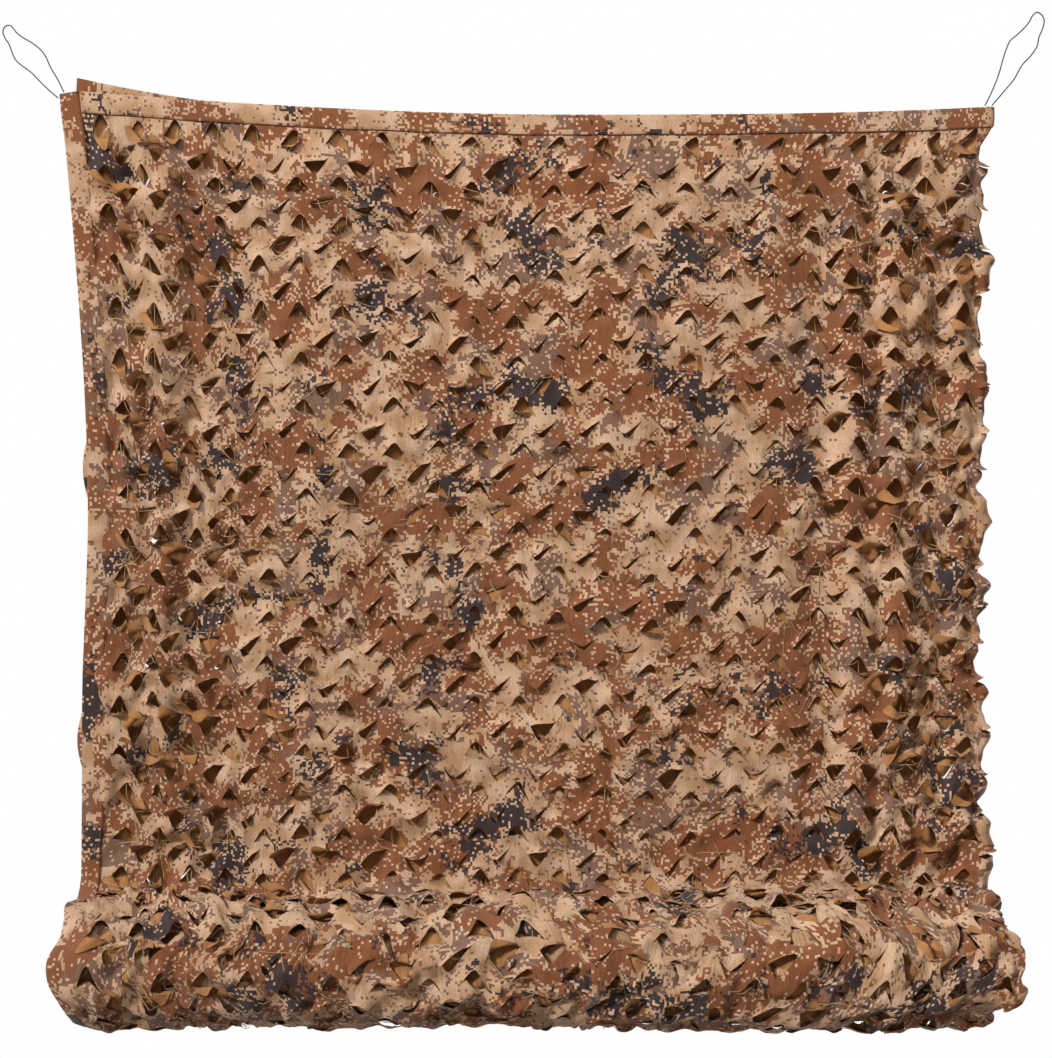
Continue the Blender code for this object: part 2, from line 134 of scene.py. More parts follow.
def seat(piece, replaced=()):  # on the net's one body, for what it replaces
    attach(piece, "root")
    if replaced:
        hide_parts(*replaced)
    return piece


def clothPiece(name, points, across, down, material, replaced=()):
    # A block of rows by columns of points, with its own place across and down the flat cloth.
    flat = np.stack(np.broadcast_arrays(across, down), axis=-1).reshape(-1, 2)
    piece = meshPiece(name, points.reshape(-1, 3), gridFaces(*points.shape[:2]), flat, material)
    return seat(piece, replaced)


tubeForm = {
    "aside": (0.31, 0.87, 0.12),  # a direction that no line runs in
    "ends": 0.05,  # share of the radius at both ends
}


def tubes(lines, radius, sides, lobes=0, turns=0.0, depth=0.0):
    # A round profile carried along each line: centre + radius (1 - depth + depth |cos(lobes/2 angle - turns
    # run)|) times the ring's direction, drawn in at both ends. lines is (count, points, 3).
    count, length = lines.shape[:2]
    along = np.gradient(lines, axis=1)
    along /= np.linalg.norm(along, axis=2, keepdims=True)
    aside = np.cross(along, tubeForm["aside"])
    aside /= np.linalg.norm(aside, axis=2, keepdims=True)
    above = np.cross(along, aside)
    run = np.cumsum(np.linalg.norm(np.diff(lines, axis=1, prepend=lines[:, :1]), axis=2), axis=1)
    angle = np.arange(sides) * 2 * math.pi / sides
    size = radius * (1.0 - depth + depth * np.abs(np.cos(lobes / 2 * angle - turns * run[..., None])))
    size[:, [0, -1]] *= tubeForm["ends"]
    ring = aside[:, :, None] * np.cos(angle)[:, None] + above[:, :, None] * np.sin(angle)[:, None]
    points = lines[:, :, None] + size[..., None] * ring
    line, place, side = np.meshgrid(np.arange(count), np.arange(length - 1), np.arange(sides), indexing="ij")
    first = (line * length + place) * sides
    after = (side + 1) % sides
    faces = np.stack([first + side, first + after, first + sides + after, first + sides + side], axis=-1)
    uv = np.stack([
        np.stack([side, side + 1, side + 1, side], axis=-1) * 2 * math.pi * radius / sides,
        run[line[..., None], place[..., None] + np.array([0, 0, 1, 1])],
    ], axis=-1)
    return points.reshape(-1, 3), faces.reshape(-1, 4), uv.reshape(-1, 4, 2)


# The print is squares of one size in four colours; every colour is linear.
printLook = {
    "square": 0.0037,
    "sand": (0.575, 0.342, 0.195),
    "paleSand": (0.750, 0.520, 0.365),
    "rust": (0.282, 0.098, 0.035),
    "mauve": (0.250, 0.140, 0.101),
    "dusk": (0.046, 0.027, 0.031),
    # the cloth's plain ochre back, painted brighter and warmer as a painted glow: light shining through the
    # thin cloth and bouncing inside the openings
    "reverseWithPaintedGlow": (0.520, 0.245, 0.088),
    "fastNoise": (62.0, 1.0, 0.6),  # scale, detail, roughness
    "sandNoise": (26.0, 1.0),
    "sandRange": (0.35, 0.65),  # of that noise, from sand to pale sand
    "patchNoise": (2.5, 0.55),  # detail, roughness
    "strewnNoise": (15.0, 1.0, 0.5, (21.0, 4.0, 0.0)),  # and shift
    "strewnShift": (0.5, 0.25, 3.0),
    "strewnRange": (0.42, 0.66),
    "strewn": (0.08, 0.025),  # share of stray squares: more where that noise is high, and everywhere
    "strewnOnPatches": 1.2,  # and this many times more on the patches
}


def newGroup(name, inputs, outputs):  # an empty shader group with these sockets
    tree = bpy.data.node_groups.new(name, "ShaderNodeTree")
    for label, kind in inputs:
        tree.interface.new_socket(label, in_out="INPUT", socket_type=kind)
    for label, kind in outputs:
        tree.interface.new_socket(label, in_out="OUTPUT", socket_type=kind)
    return tree, tree.nodes.new("NodeGroupInput"), tree.nodes.new("NodeGroupOutput")


def addNode(tree, kind, links=(), settings=(), values=()):
    # A node with its attributes set, its values by input, and its links as (input, output socket).
    node = tree.nodes.new(kind)
    for key, value in dict(settings).items():
        setattr(node, key, value)
    for key, value in dict(values).items():
        node.inputs[key].default_value = value
    for key, source in dict(links).items():
        tree.links.new(source, node.inputs[key])
    return node


def mathNode(tree, operation, a, b=None, c=None):  # each of a, b and c is a socket or a number
    node = addNode(tree, "ShaderNodeMath", settings={"operation": operation})
    for i, value in enumerate((a, b, c)):
        if isinstance(value, (int, float)):
            node.inputs[i].default_value = value
        elif value is not None:
            tree.links.new(value, node.inputs[i])
    return node.outputs[0]


def vectorNode(tree, operation, vector, value):
    # a vector socket with a fixed vector added, multiplied or snapped to
    settings = {"operation": operation}
    return addNode(tree, "ShaderNodeVectorMath", {0: vector}, settings, {1: value}).outputs[0]


def mixColours(tree, factor, a, b):  # a where factor is 0 and b where it is 1; each is a socket or a colour
    node = addNode(tree, "ShaderNodeMix", settings={"data_type": "RGBA"}, links={0: factor})
    for i, value in ((6, a), (7, b)):
        if isinstance(value, tuple):
            node.inputs[i].default_value = (*value, 1.0)
        else:
            tree.links.new(value, node.inputs[i])
    return node.outputs[2]


def noiseAt(tree, place, scale, detail=2.0, rough=0.5, shift=(0.0, 0.0, 0.0)):
    values = {"Scale": scale, "Detail": detail, "Roughness": rough}
    moved = vectorNode(tree, "ADD", place, shift)
    return addNode(tree, "ShaderNodeTexNoise", {"Vector": moved}, values=values).outputs["Fac"]


def randomAt(tree, place, shift):  # one random number for each square of the print
    moved = vectorNode(tree, "ADD", place, shift)
    return addNode(tree, "ShaderNodeTexWhiteNoise", {"Vector": moved}).outputs["Value"]


def smoothRange(tree, value, low, high):  # 0 at low and 1 at high
    settings = {"interpolation_type": "SMOOTHSTEP"}
    values = {"From Min": low, "From Max": high}
    return addNode(tree, "ShaderNodeMapRange", {"Value": value}, settings, values).outputs[0]


# Cloth position is snapped to squares. Each colour covers the squares where its own slow noise, with some
# faster noise and a random number for the square added, passes a level. Stray squares are strewn over all.
patches = [  # colour, noise scale, level, share of faster noise, share of the square's own number, shift
    ("mauve", 12.5, 0.550, 0.32, 0.09, (3.1, 7.7, 0.0)),
    ("rust", 9.5, 0.520, 0.26, 0.08, (11.3, 2.9, 0.0)),
    ("dusk", 8.5, 0.608, 0.22, 0.07, (5.9, 15.1, 0.0)),
]


def makePrintGroup():
    inputs, outputs = [("Cloth", "NodeSocketVector")], [("Color", "NodeSocketColor")]
    tree, given, result = newGroup("printedSquares", inputs, outputs)
    square = printLook["square"]
    snapped = vectorNode(tree, "SNAP", given.outputs[0], (square, square, 1.0))
    place = vectorNode(tree, "ADD", snapped, (square / 2, square / 2, 0.0))
    fast = mathNode(tree, "SUBTRACT", noiseAt(tree, place, *printLook["fastNoise"]), 0.5)
    pale = smoothRange(tree, noiseAt(tree, place, *printLook["sandNoise"]), *printLook["sandRange"])
    colour = mixColours(tree, pale, printLook["sand"], printLook["paleSand"])
    covered = None
    for name, scale, level, fastShare, ownShare, shift in patches:
        own = mathNode(tree, "SUBTRACT", randomAt(tree, place, shift), 0.5)
        slow = noiseAt(tree, place, scale, *printLook["patchNoise"], shift)
        field = mathNode(tree, "MULTIPLY_ADD", fast, fastShare, slow)
        field = mathNode(tree, "MULTIPLY_ADD", own, ownShare, field)
        inside = mathNode(tree, "GREATER_THAN", field, level)
        colour = mixColours(tree, inside, colour, printLook[name])
        covered = inside if covered is None else mathNode(tree, "MAXIMUM", covered, inside)
    strewn = smoothRange(tree, noiseAt(tree, place, *printLook["strewnNoise"]), *printLook["strewnRange"])
    share = mathNode(tree, "MULTIPLY_ADD", strewn, *printLook["strewn"])
    more = mathNode(tree, "MULTIPLY_ADD", covered, printLook["strewnOnPatches"], 1.0)
    share = mathNode(tree, "MULTIPLY", share, more)
    stray = mathNode(tree, "LESS_THAN", randomAt(tree, place, printLook["strewnShift"]), share)
    strayColour = mixColours(tree, covered, printLook["mauve"], printLook["paleSand"])
    colour = mixColours(tree, stray, colour, strayColour)
    tree.links.new(colour, result.inputs[0])
    return tree


# Weave: two sets of fine ribs at right angles, and slow creases that run mostly down the cloth.
weaveLook = {
    "thread": 0.0008,
    "threadHeight": 0.04,
    "stretch": (1.0, 0.25, 1.0),  # creases and fibres are drawn out down the cloth
    "crease": (130.0, 3.0, 0.64),  # scale, detail, roughness
    "fibre": (900.0, 1.0),
}


def makeWeaveGroup():
    inputs = [("Cloth", "NodeSocketVector"), ("Creases", "NodeSocketFloat")]
    outputs = [("Height", "NodeSocketFloat"), ("Fibre", "NodeSocketFloat")]
    tree, given, result = newGroup("weave", inputs, outputs)
    parts = addNode(tree, "ShaderNodeSeparateXYZ", {0: given.outputs[0]})
    turn = 2 * math.pi / weaveLook["thread"]
    across = mathNode(tree, "SINE", mathNode(tree, "MULTIPLY", parts.outputs[0], turn))
    down = mathNode(tree, "SINE", mathNode(tree, "MULTIPLY", parts.outputs[1], turn))
    threads = mathNode(tree, "MULTIPLY", across, down)
    stretched = vectorNode(tree, "MULTIPLY", given.outputs[0], weaveLook["stretch"])
    creases = noiseAt(tree, stretched, *weaveLook["crease"])
    threads = mathNode(tree, "MULTIPLY", threads, weaveLook["threadHeight"])
    height = mathNode(tree, "MULTIPLY_ADD", creases, given.outputs[1], threads)
    fibre = noiseAt(tree, stretched, *weaveLook["fibre"])
    tree.links.new(height, result.inputs[0])
    tree.links.new(fibre, result.inputs[1])
    return tree


printGroup = makePrintGroup()
weaveGroup = makeWeaveGroup()


clothLook = {
    "bump": 0.0062,
    "tone": (0.28, 0.86),  # brightness gained along the fibres, and between them
    "fibreRange": (0.3, 0.7),
    "rough": 0.72,
    "specular": 0.35,
    "sheen": 0.12,
}
cordLook = {"strands": (700.0, 2.0), "strandRange": (0.35, 0.65), "rough": 0.75, "sheen": 0.2}


def newMaterial(name, look):  # with its tree, its shader and the cloth's own position
    material = bpy.data.materials.new(name)
    material.use_nodes = True
    tree = material.node_tree
    shader = tree.nodes["Principled BSDF"]
    shader.inputs["Roughness"].default_value = look["rough"]
    shader.inputs["Sheen Weight"].default_value = look["sheen"]
    return material, tree, shader, addNode(tree, "ShaderNodeUVMap", settings={"uv_map": "cloth"}).outputs[0]


def clothMaterial(name, creases=1.0, reverseWithPaintedGlow=True):
    # Printed face, darkened and lightened a little along its fibres; plain ochre reverse where it has one,
    # painted brighter than the bare cloth as a painted glow for light that shines through and bounces
    # between the layers.
    material, tree, shader, cloth = newMaterial(name, clothLook)
    printed = addNode(tree, "ShaderNodeGroup", settings={"node_tree": printGroup})
    tree.links.new(cloth, printed.inputs[0])
    weave = addNode(tree, "ShaderNodeGroup", settings={"node_tree": weaveGroup})
    tree.links.new(cloth, weave.inputs[0])
    weave.inputs[1].default_value = creases
    fibre = smoothRange(tree, weave.outputs[1], *clothLook["fibreRange"])
    tone = mathNode(tree, "MULTIPLY_ADD", fibre, *clothLook["tone"])
    toned = addNode(tree, "ShaderNodeVectorMath", {0: printed.outputs[0]}, {"operation": "SCALE"})
    tree.links.new(tone, toned.inputs["Scale"])
    colour = toned.outputs[0]
    if reverseWithPaintedGlow:
        behind = addNode(tree, "ShaderNodeNewGeometry").outputs["Backfacing"]
        colour = mixColours(tree, behind, colour, printLook["reverseWithPaintedGlow"])
    tree.links.new(colour, shader.inputs["Base Color"])
    distance = {"Distance": clothLook["bump"]}
    bump = addNode(tree, "ShaderNodeBump", {"Height": weave.outputs[0]}, values=distance)
    tree.links.new(bump.outputs[0], shader.inputs["Normal"])
    shader.inputs["Specular IOR Level"].default_value = clothLook["specular"]
    return material


def cordMaterial(name, colour, dark):  # twisted yarn: two tones that follow the lay of its strands
    material, tree, shader, place = newMaterial(name, cordLook)
    strands = smoothRange(tree, noiseAt(tree, place, *cordLook["strands"]), *cordLook["strandRange"])
    tree.links.new(mixColours(tree, strands, dark, colour), shader.inputs["Base Color"])
    return material


netMaterial = clothMaterial("netCloth")
bindingMaterial = clothMaterial("bindingCloth", creases=0.6, reverseWithPaintedGlow=False)
rollMaterial = clothMaterial("rollCloth")
stringMaterial = cordMaterial("netString", (0.62, 0.47, 0.26), (0.40, 0.28, 0.13))
loopMaterial = cordMaterial("loopCord", (0.046, 0.040, 0.022), (0.012, 0.011, 0.007))
seamMaterial = cordMaterial("seamThread", (0.42, 0.27, 0.16), (0.30, 0.18, 0.10))
print("materials: made")


# A cord loop at each top corner. The routes are at y = 0: across, up, from where the cord leaves the corner
# round to where it comes back.
cornerLoops = {
    "diameter": 0.0022,
    "step": 0.0015,  # between the rings of the cord
    "lay": 0.009,  # length in which the two strands turn once
    "groove": 0.22,  # depth between the strands, as a share of the radius
    "leftRoute": [
        (-0.7480, 0.0270), (-0.7648, 0.0416), (-0.7800, 0.0565), (-0.7920, 0.0688), (-0.8040, 0.0775),
        (-0.8170, 0.0892), (-0.8224, 0.1008), (-0.8272, 0.1136), (-0.8345, 0.1255), (-0.8368, 0.1344),
        (-0.8340, 0.1412), (-0.8275, 0.1440), (-0.8215, 0.1405), (-0.8160, 0.1330), (-0.8080, 0.1264),
        (-0.7872, 0.1136), (-0.7744, 0.1024), (-0.7688, 0.0944), (-0.7616, 0.0784), (-0.7504, 0.0592),
        (-0.7388, 0.0360),
    ],
    "rightRoute": [
        (0.7338, 0.0144), (0.7456, 0.0384), (0.7584, 0.0720), (0.7632, 0.0896), (0.7696, 0.1088),
        (0.7745, 0.1190), (0.7848, 0.1280), (0.7952, 0.1376), (0.8048, 0.1488), (0.8112, 0.1600),
        (0.8176, 0.1648), (0.8240, 0.1616), (0.8288, 0.1536), (0.8272, 0.1408), (0.8208, 0.1248),
        (0.8176, 0.1104), (0.8096, 0.0976), (0.7936, 0.0800), (0.7808, 0.0576), (0.7664, 0.0400),
        (0.7450, 0.0152),
    ],
}


def smoothRoute(route, step):  # even points on a smooth curve through a route's own points
    route = np.array([(x, 0.0, z) for x, z in route])
    along = np.concatenate([[0.0], np.cumsum(np.linalg.norm(np.diff(route, axis=0), axis=1))])
    at = np.linspace(0.0, along[-1], 2000)
    fine = np.stack([smoothTable(at, list(zip(along, route[:, k])), 1) for k in range(3)], axis=1)
    run = np.concatenate([[0.0], np.cumsum(np.linalg.norm(np.diff(fine, axis=0), axis=1))])
    even = np.linspace(0.0, run[-1], round(run[-1] / step) + 1)
    return np.stack([np.interp(even, run, fine[:, k]) for k in range(3)], axis=1), float(run[-1])


def makeLoop(name, nodeName, route):
    line, length = smoothRoute(route, cornerLoops["step"])
    radius = cornerLoops["diameter"] / 2
    turns = 2 * math.pi / cornerLoops["lay"]
    grid = tubes(line[None], radius, sides=10, lobes=2, turns=turns, depth=cornerLoops["groove"])
    loop = seat(meshPiece(name, *grid, loopMaterial), [nodeName])


makeLoop("left_loop_cord", "corner_loop_left", cornerLoops["leftRoute"])
makeLoop("right_loop_cord", "corner_loop_right", cornerLoops["rightRoute"])
print("corner loops: made")


# The folded net: where each point of the flat cloth lies as it hangs and winds.
# q runs across the flat cloth from its front bound edge, round the fold, to its back bound edge; s runs
# down it.
net = {
    "border": 0.0315,  # uncut cloth under a binding
    "pitch": 0.06773,  # one leaf cut across
    "periods": 22,  # leaf cuts from the border to the fold
    "gapTop": 0.009,  # between the middles of the two layers
    "gapFoot": 0.006,
    "foldClear": 0.001,  # from the outside of the fold to the right edge
    "valley": 0.040,  # radius of the bend above the roll
    "rollY": -0.104,
    "rollZ": -1.3335,
    "rollRadius": 0.097,
    "rollCore": 0.008,  # radius at which the inmost turn ends
    "rollStep": 0.0079,  # what one turn takes off the radius
    "rollSpare": 0.07,  # the spiral ends this much early, because slack cloth may reach past its end
    "floor": -1.4255,
    "fadeDrop": 0.6,  # where the rows have become level
    # rise of the top edge: from where, over what distance across, height, power
    "topRises": [(0.05, -0.76, 0.037, 1.7), (0.05, 0.70, 0.013, 3)],
    "backRise": (-0.48, -0.24, 0.0225, 1.4),
    "frontRise": (-0.715, -1.0, -0.25, 1),
    # share of the flat width, share of the hung width: the net is gathered a little towards both sides
    "spread": [(0.0, 0.0), (0.19, 0.173), (0.50, 0.500), (0.83, 0.847), (1.0, 1.0)],
    # drop, left edge, right edge
    "edges": [
        (0.00, -0.7455, 0.7530), (0.03, -0.7425, 0.7510), (0.06, -0.7382, 0.7330), (0.14, -0.7300, 0.7270),
        (0.25, -0.7200, 0.7250), (0.33, -0.7136, 0.7245), (0.46, -0.7050, 0.7235), (0.56, -0.7010, 0.7240),
        (0.66, -0.7000, 0.7240), (0.78, -0.7040, 0.7245), (0.90, -0.7085, 0.7255), (1.09, -0.7095, 0.7270),
        (1.30, -0.7110, 0.7270),
    ],
    "backInset": (0.009, 0.017, 0.10),  # of the back layer's left edge, more at the top, its fading length
    "liningInset": 0.004,  # the same on the roll
    # where the back layer slips out on the left: drop, half height, amount
    "slips": [(0.57, 0.09, 0.018), (1.00, 0.09, 0.018)],
    # place across, lean, half width, depth (+ is a trough), drop where it starts, drop where it ends
    "folds": [
        (0.480, 0.008, 0.060, 0.016, 0.04, 1.18), (0.600, -0.008, 0.070, -0.011, 0.08, 1.15),
        (0.200, 0.010, 0.150, -0.008, 0.06, 1.18), (-0.080, -0.010, 0.120, 0.007, 0.10, 1.15),
        (-0.330, 0.010, 0.110, -0.009, 0.05, 1.18), (-0.500, 0.010, 0.070, 0.010, 0.08, 1.18),
        (-0.610, 0.005, 0.050, -0.006, 0.10, 1.10),
    ],
    "foldEnds": (0.12, 0.15),  # lengths over which a fold sets in and dies out
    # narrow pleats where the net is gathered: place across, half width, depth
    "pleats": [
        (0.520, 0.026, -0.007), (0.562, 0.022, 0.008), (0.640, 0.026, 0.007), (0.684, 0.022, -0.006),
        (-0.655, 0.024, 0.006), (-0.575, 0.026, -0.006), (-0.535, 0.022, 0.005),
    ],
    "pleatStart": (0.05, 0.15),
    "pleatEnd": (1.20, 0.10),
    "pleatWander": [(0.012, (1.0, 0.21), 7)],
    # angle round the roll, left end, right end
    "rollEnds": [
        (61.0, -0.7130, 0.7240), (100.0, -0.7080, 0.7130), (122.0, -0.7012, 0.7160),
        (142.0, -0.7015, 0.7440), (165.0, -0.7170, 0.7490), (185.0, -0.7150, 0.7380),
        (205.0, -0.7020, 0.7270), (225.0, -0.6930, 0.7050), (250.0, -0.6890, 0.7030),
        (290.0, -0.6960, 0.7140), (350.0, -0.7080, 0.7230), (421.0, -0.7130, 0.7240),
    ],
    # place along, angle, half length, half angle, height, angle gained per metre along
    "lumps": [
        (-0.60, 170.0, 0.16, 60.0, 0.004, 0.0), (-0.30, 215.0, 0.20, 40.0, -0.004, 120.0),
        (-0.08, 150.0, 0.18, 50.0, 0.004, -60.0), (0.20, 205.0, 0.16, 45.0, -0.005, 140.0),
        (0.42, 160.0, 0.17, 50.0, 0.004, 0.0), (0.63, 220.0, 0.12, 50.0, -0.004, -120.0),
        (0.05, 325.0, 0.50, 40.0, -0.004, 0.0),
    ],
    "lumpEnds": 40.0,  # angle over which the lumps die out at both ends of the turn
}
net["foldAt"] = net["border"] + net["pitch"] * net["periods"]
net["across"] = -net["rollY"] - net["valley"]
net["bendAt"] = -net["rollZ"] - math.sqrt((net["valley"] + net["rollRadius"]) ** 2 - net["across"] ** 2)
net["bendTurn"] = math.pi - math.atan2(-net["rollZ"] - net["bendAt"], net["across"])
net["rollAt"] = net["bendAt"] + net["valley"] * net["bendTurn"]
net["turnAt"] = net["rollAt"] + 2 * math.pi * (net["rollRadius"] - net["rollStep"] / 2)  # the second turn
net["rollEnd"] = net["rollAt"] + math.pi * (net["rollRadius"] ** 2 - net["rollCore"] ** 2) / net["rollStep"]
net["rollEnd"] -= net["rollSpare"]
net["firstAngle"], net["lastAngle"] = net["rollEnds"][0][0], net["rollEnds"][-1][0]

# Where something sets in down the cloth: its start, and the length over which it does.
setsIn = {
    "free": (0.03, 0.06),  # the cloth is free of its top binding
    "lower": (0.03, 0.26),  # the back layer hangs lower
    "wander": (0.03, 0.05),
    "teeth": (0.04, 0.04),
    "bulge": (0.05, 0.15),
    "foot": (0.72, 0.30),  # slacker cloth
    "rollEdge": (1.19, 0.11),  # the edges follow the roll's ends
    "rollSlack": (1.20, 0.10),
    "rolled": (1.22, 0.10),
    "tight": (net["turnAt"] + 0.05, 0.10),  # the inner turns are smooth
    "innerTurn": (net["turnAt"] + 0.02, 0.10),
    "deep": (2.0, 1.2),
}

# How the cloth shifts in its own surface, as rows of amount, cell across and down, seed.
drift = {
    "across": [(0.0090, (0.20, 0.16), 9)],
    "acrossSlack": [(0.0070, (0.085, 0.075), 24)],
    "down": [(0.0130, (0.24, 0.26), 10), (0.0055, (0.09, 0.10), 18)],
    "downSlack": [(0.0080, (0.080, 0.085), 25)],
    "slack": (0.5, 0.5, 1.2),  # added at the foot, added on the roll, most
    "backLower": 0.0330,
    "backLowerOver": 0.20,  # from the fold
    "edge": 0.08,  # nothing shifts at an edge, and all of it does this far in
    "fold": 0.05,
}

# How rough it is.
crumple = {
    "both": [(0.0030, (0.105, 0.13), 3), (0.0018, (0.042, 0.05), 4)],  # both layers alike
    "own": [(0.0007, (0.05, 0.06), 17)],
    "rolled": [(0.0045, (0.13, 0.075), 5), (0.0022, (0.05, 0.045), 6)],
    "creases": [(-0.0026, 0.040, 21, 0.62), (0.0013, 0.021, 22, -0.48)],  # amount, cell, seed, turn
    "rough": (0.80, 0.95, 0.40, 0.40),  # of the creases: everywhere, at the sides, at the foot, on the roll
    "uneven": [(0.35, (0.21, 0.17), 23)],
    "tight": 0.8,  # share lost on the inner turns
    "foldWander": [(0.0045, (1.0, 0.055), 14), (0.0025, (1.0, 0.024), 15)],
    "wanderPower": 10,  # how close to the fold it keeps
}

# The gathered cloth near both sides.
gather = {
    "left": (0.22, 0.14),  # where it ends on the left, and over what share of the width
    "right": (0.76, 0.14),
    "bulge": 0.0080,  # the layers stand this much further apart there
    "bulgeEdge": (0.03, 0.07),  # from the bound edge
    "bulgeFold": (0.01, 0.07),
    "bulgeEnd": (1.22, 0.15),
}

# The points in which the folded edge stands out beside the cuts.
teeth = {
    "points": [(0.0, 0.0125), (0.46, 0.0080)],  # shift in repeats, size
    "first": 0.0975,
    "rise": (0.25, 0.75),
    "fall": 0.25,
    "least": 0.15,  # of a point's full size
    "between": 0.003,  # the fold is drawn in between them
    "power": 45,  # how close to the fold they keep
}

# How the roll's ends and leaves lie.
rollForm = {
    "innerInset": (0.004, 0.006),  # inner turns end further in: from the second turn, and more in the depth
    "turnedIn": 0.005,  # the outer turn's bound edges bend inwards
    "turnedOver": 0.02,
    "under": (0.45, 0.35),  # downward part of the surface's direction where leaves are pressed flatter
    "pressed": 0.50,
    "pressedFrom": 0.002,
}


def fromEdge(q):  # distance in from the nearer bound edge
    return net["foldAt"] - np.abs(q - net["foldAt"])


def widthShare(q):  # 0 at a bound edge and 1 at the fold
    return 1.0 - np.abs(q - net["foldAt"]) / net["foldAt"]


def woundAngle(length):  # turn b from R b - step b^2 / 4 pi = the length wound so far
    wound = np.clip(length - net["rollAt"], 0.0, None)
    root = np.sqrt(net["rollRadius"] ** 2 - net["rollStep"] * wound / math.pi)
    return (net["rollRadius"] - root) / (net["rollStep"] / (2 * math.pi))


def pathAt(length):
    # y, z, the inward direction's y and z, and the angle round the roll, of the front layer at a length
    # down it: straight down, then round the valley's arc, then along the spiral radius R - step b / 2 pi.
    turn = np.clip((length - net["bendAt"]) / net["valley"], 0.0, net["bendTurn"])
    y = net["valley"] * (np.cos(turn) - 1.0)
    z = -np.minimum(length, net["bendAt"]) - net["valley"] * np.sin(turn)
    b = woundAngle(length)
    radius = net["rollRadius"] - net["rollStep"] * b / (2 * math.pi)
    angle = math.pi - net["bendTurn"] + b
    rolled = length > net["rollAt"]
    y = np.where(rolled, net["rollY"] + radius * np.cos(angle), y)
    z = np.where(rolled, net["rollZ"] + radius * np.sin(angle), z)
    inY = np.where(rolled, -np.cos(angle), np.cos(turn))
    inZ = np.where(rolled, -np.sin(angle), -np.sin(turn))
    return y, z, inY, inZ, np.degrees(angle)


def powerRise(x, start, over, height, power):  # height times a power of the distance past the start
    return height * np.clip((x - start) / over, 0.0, None) ** power


def topRise(x, back):  # the top edge rises by powers of the distance to each side of its lowest point
    rises = sum(powerRise(x, *row) for row in net["topRises"])
    return rises + np.where(back, powerRise(x, *net["backRise"]), powerRise(x, *net["frontRise"]))


def sideEdges(s, back):  # left and right edge at a drop; along the roll they follow its ends
    left, right = smoothTable(s, net["edges"], 1), smoothTable(s, net["edges"], 2)
    slips = sum(amount * hump((s - at) / half) for at, half, amount in net["slips"])
    inset, more, length = net["backInset"]
    left = left + np.where(back, inset + more * np.exp(-np.clip(s, 0.0, None) / length) - slips, 0.0)
    angle = (pathAt(s)[4] - net["firstAngle"]) % 360.0 + net["firstAngle"]
    share = rise(s, *setsIn["rollEdge"])
    leftEnd = smoothTable(angle, net["rollEnds"], 1) + np.where(back, net["liningInset"], 0.0)
    return left + (leftEnd - left) * share, right + (smoothTable(angle, net["rollEnds"], 2) - right) * share


def foldDepth(x, s):  # the sum of soft humps, each leaning a little and dying out at its two ends
    depth = np.zeros(np.broadcast(x, s).shape)
    setIn, dieOut = net["foldEnds"]
    for at, lean, half, amount, start, end in net["folds"]:
        middle = at + lean * (s - (start + end) / 2)
        depth += amount * rise(s, start, setIn) * fall(s, end, dieOut) * hump((x - middle) / half)
    pleated = rise(s, *net["pleatStart"]) * fall(s, *net["pleatEnd"])
    for at, half, amount in net["pleats"]:
        wander = noiseSum(at, s, net["pleatWander"])
        depth += amount * pleated * hump((x - at - wander) / half)
    return depth


def rollLumps(x, angle):
    height = np.zeros(np.broadcast(x, angle).shape)
    for at, middle, halfLength, halfAngle, amount, twist in net["lumps"]:
        past = x - at
        height += amount * hump(past / halfLength) * hump((angle - middle - twist * past) / halfAngle)
    ends = net["lumpEnds"]
    return height * rise(angle, net["firstAngle"], ends) * fall(angle, net["lastAngle"], ends)


def sideShare(q):  # 0 in the middle and 1 in the gathered cloth near both sides
    across = widthShare(q)
    return fall(across, *gather["left"]) + rise(across, *gather["right"])


def sideBulge(q, s):
    inset = fromEdge(q)
    inside = rise(inset, *gather["bulgeEdge"]) * rise(net["foldAt"] - inset, *gather["bulgeFold"])
    inside = inside * rise(s, *setsIn["bulge"]) * fall(s, *gather["bulgeEnd"])
    return gather["bulge"] * sideShare(q) * inside


def slipped(q, s):
    # The cloth shifts a little in its own surface, both layers alike, and the back layer hangs half a
    # repeat lower, so that the openings of one layer lie behind the uncut bands of the other.
    inset = fromEdge(q)
    loose = rise(s, *setsIn["free"]) * rise(inset, 0.0, drift["edge"])
    atFoot, onRoll, most = drift["slack"]
    slack = sideShare(q) + atFoot * rise(s, *setsIn["foot"]) + onRoll * rise(s, *setsIn["rollSlack"])
    slack = np.clip(slack, 0.0, most)
    shiftQ = noiseSum(inset, s, drift["across"]) + slack * noiseSum(inset, s, drift["acrossSlack"])
    shiftS = noiseSum(inset, s, drift["down"]) + slack * noiseSum(inset, s, drift["downSlack"])
    awayFromFold = np.clip(np.abs(q - net["foldAt"]) / drift["fold"], 0.0, 1.0)
    below = drift["backLower"] * rise(q, net["foldAt"], drift["backLowerOver"]) * rise(s, *setsIn["lower"])
    way = np.where(q > net["foldAt"], -1.0, 1.0)
    return q + shiftQ * loose * way * awayFromFold, s + shiftS * loose + below


def foldTeeth(s):
    # Beside a cut the folded edge stands out in points: at each repeat a slow rise to the cut and a quick
    # fall, and a smaller point half way, each as high as its own random number says.
    heights = np.random.default_rng(61).uniform(teeth["least"], 1.0, 256)
    place = (s - teeth["first"]) / leaf["repeat"]
    start, over = teeth["rise"]
    total = np.zeros(np.shape(s))
    for later, size in teeth["points"]:
        turn = np.floor(place + later).astype(int)
        part = place + later - turn
        ramp = np.clip((part - start) / over, 0.0, None)
        drop = np.clip(1.0 - part / teeth["fall"], 0.0, None)
        number = turn + int(later * 100)
        total += size * (ramp * heights[number % 256] + drop * heights[(number - 1) % 256])
    return total * rise(s, *setsIn["teeth"])


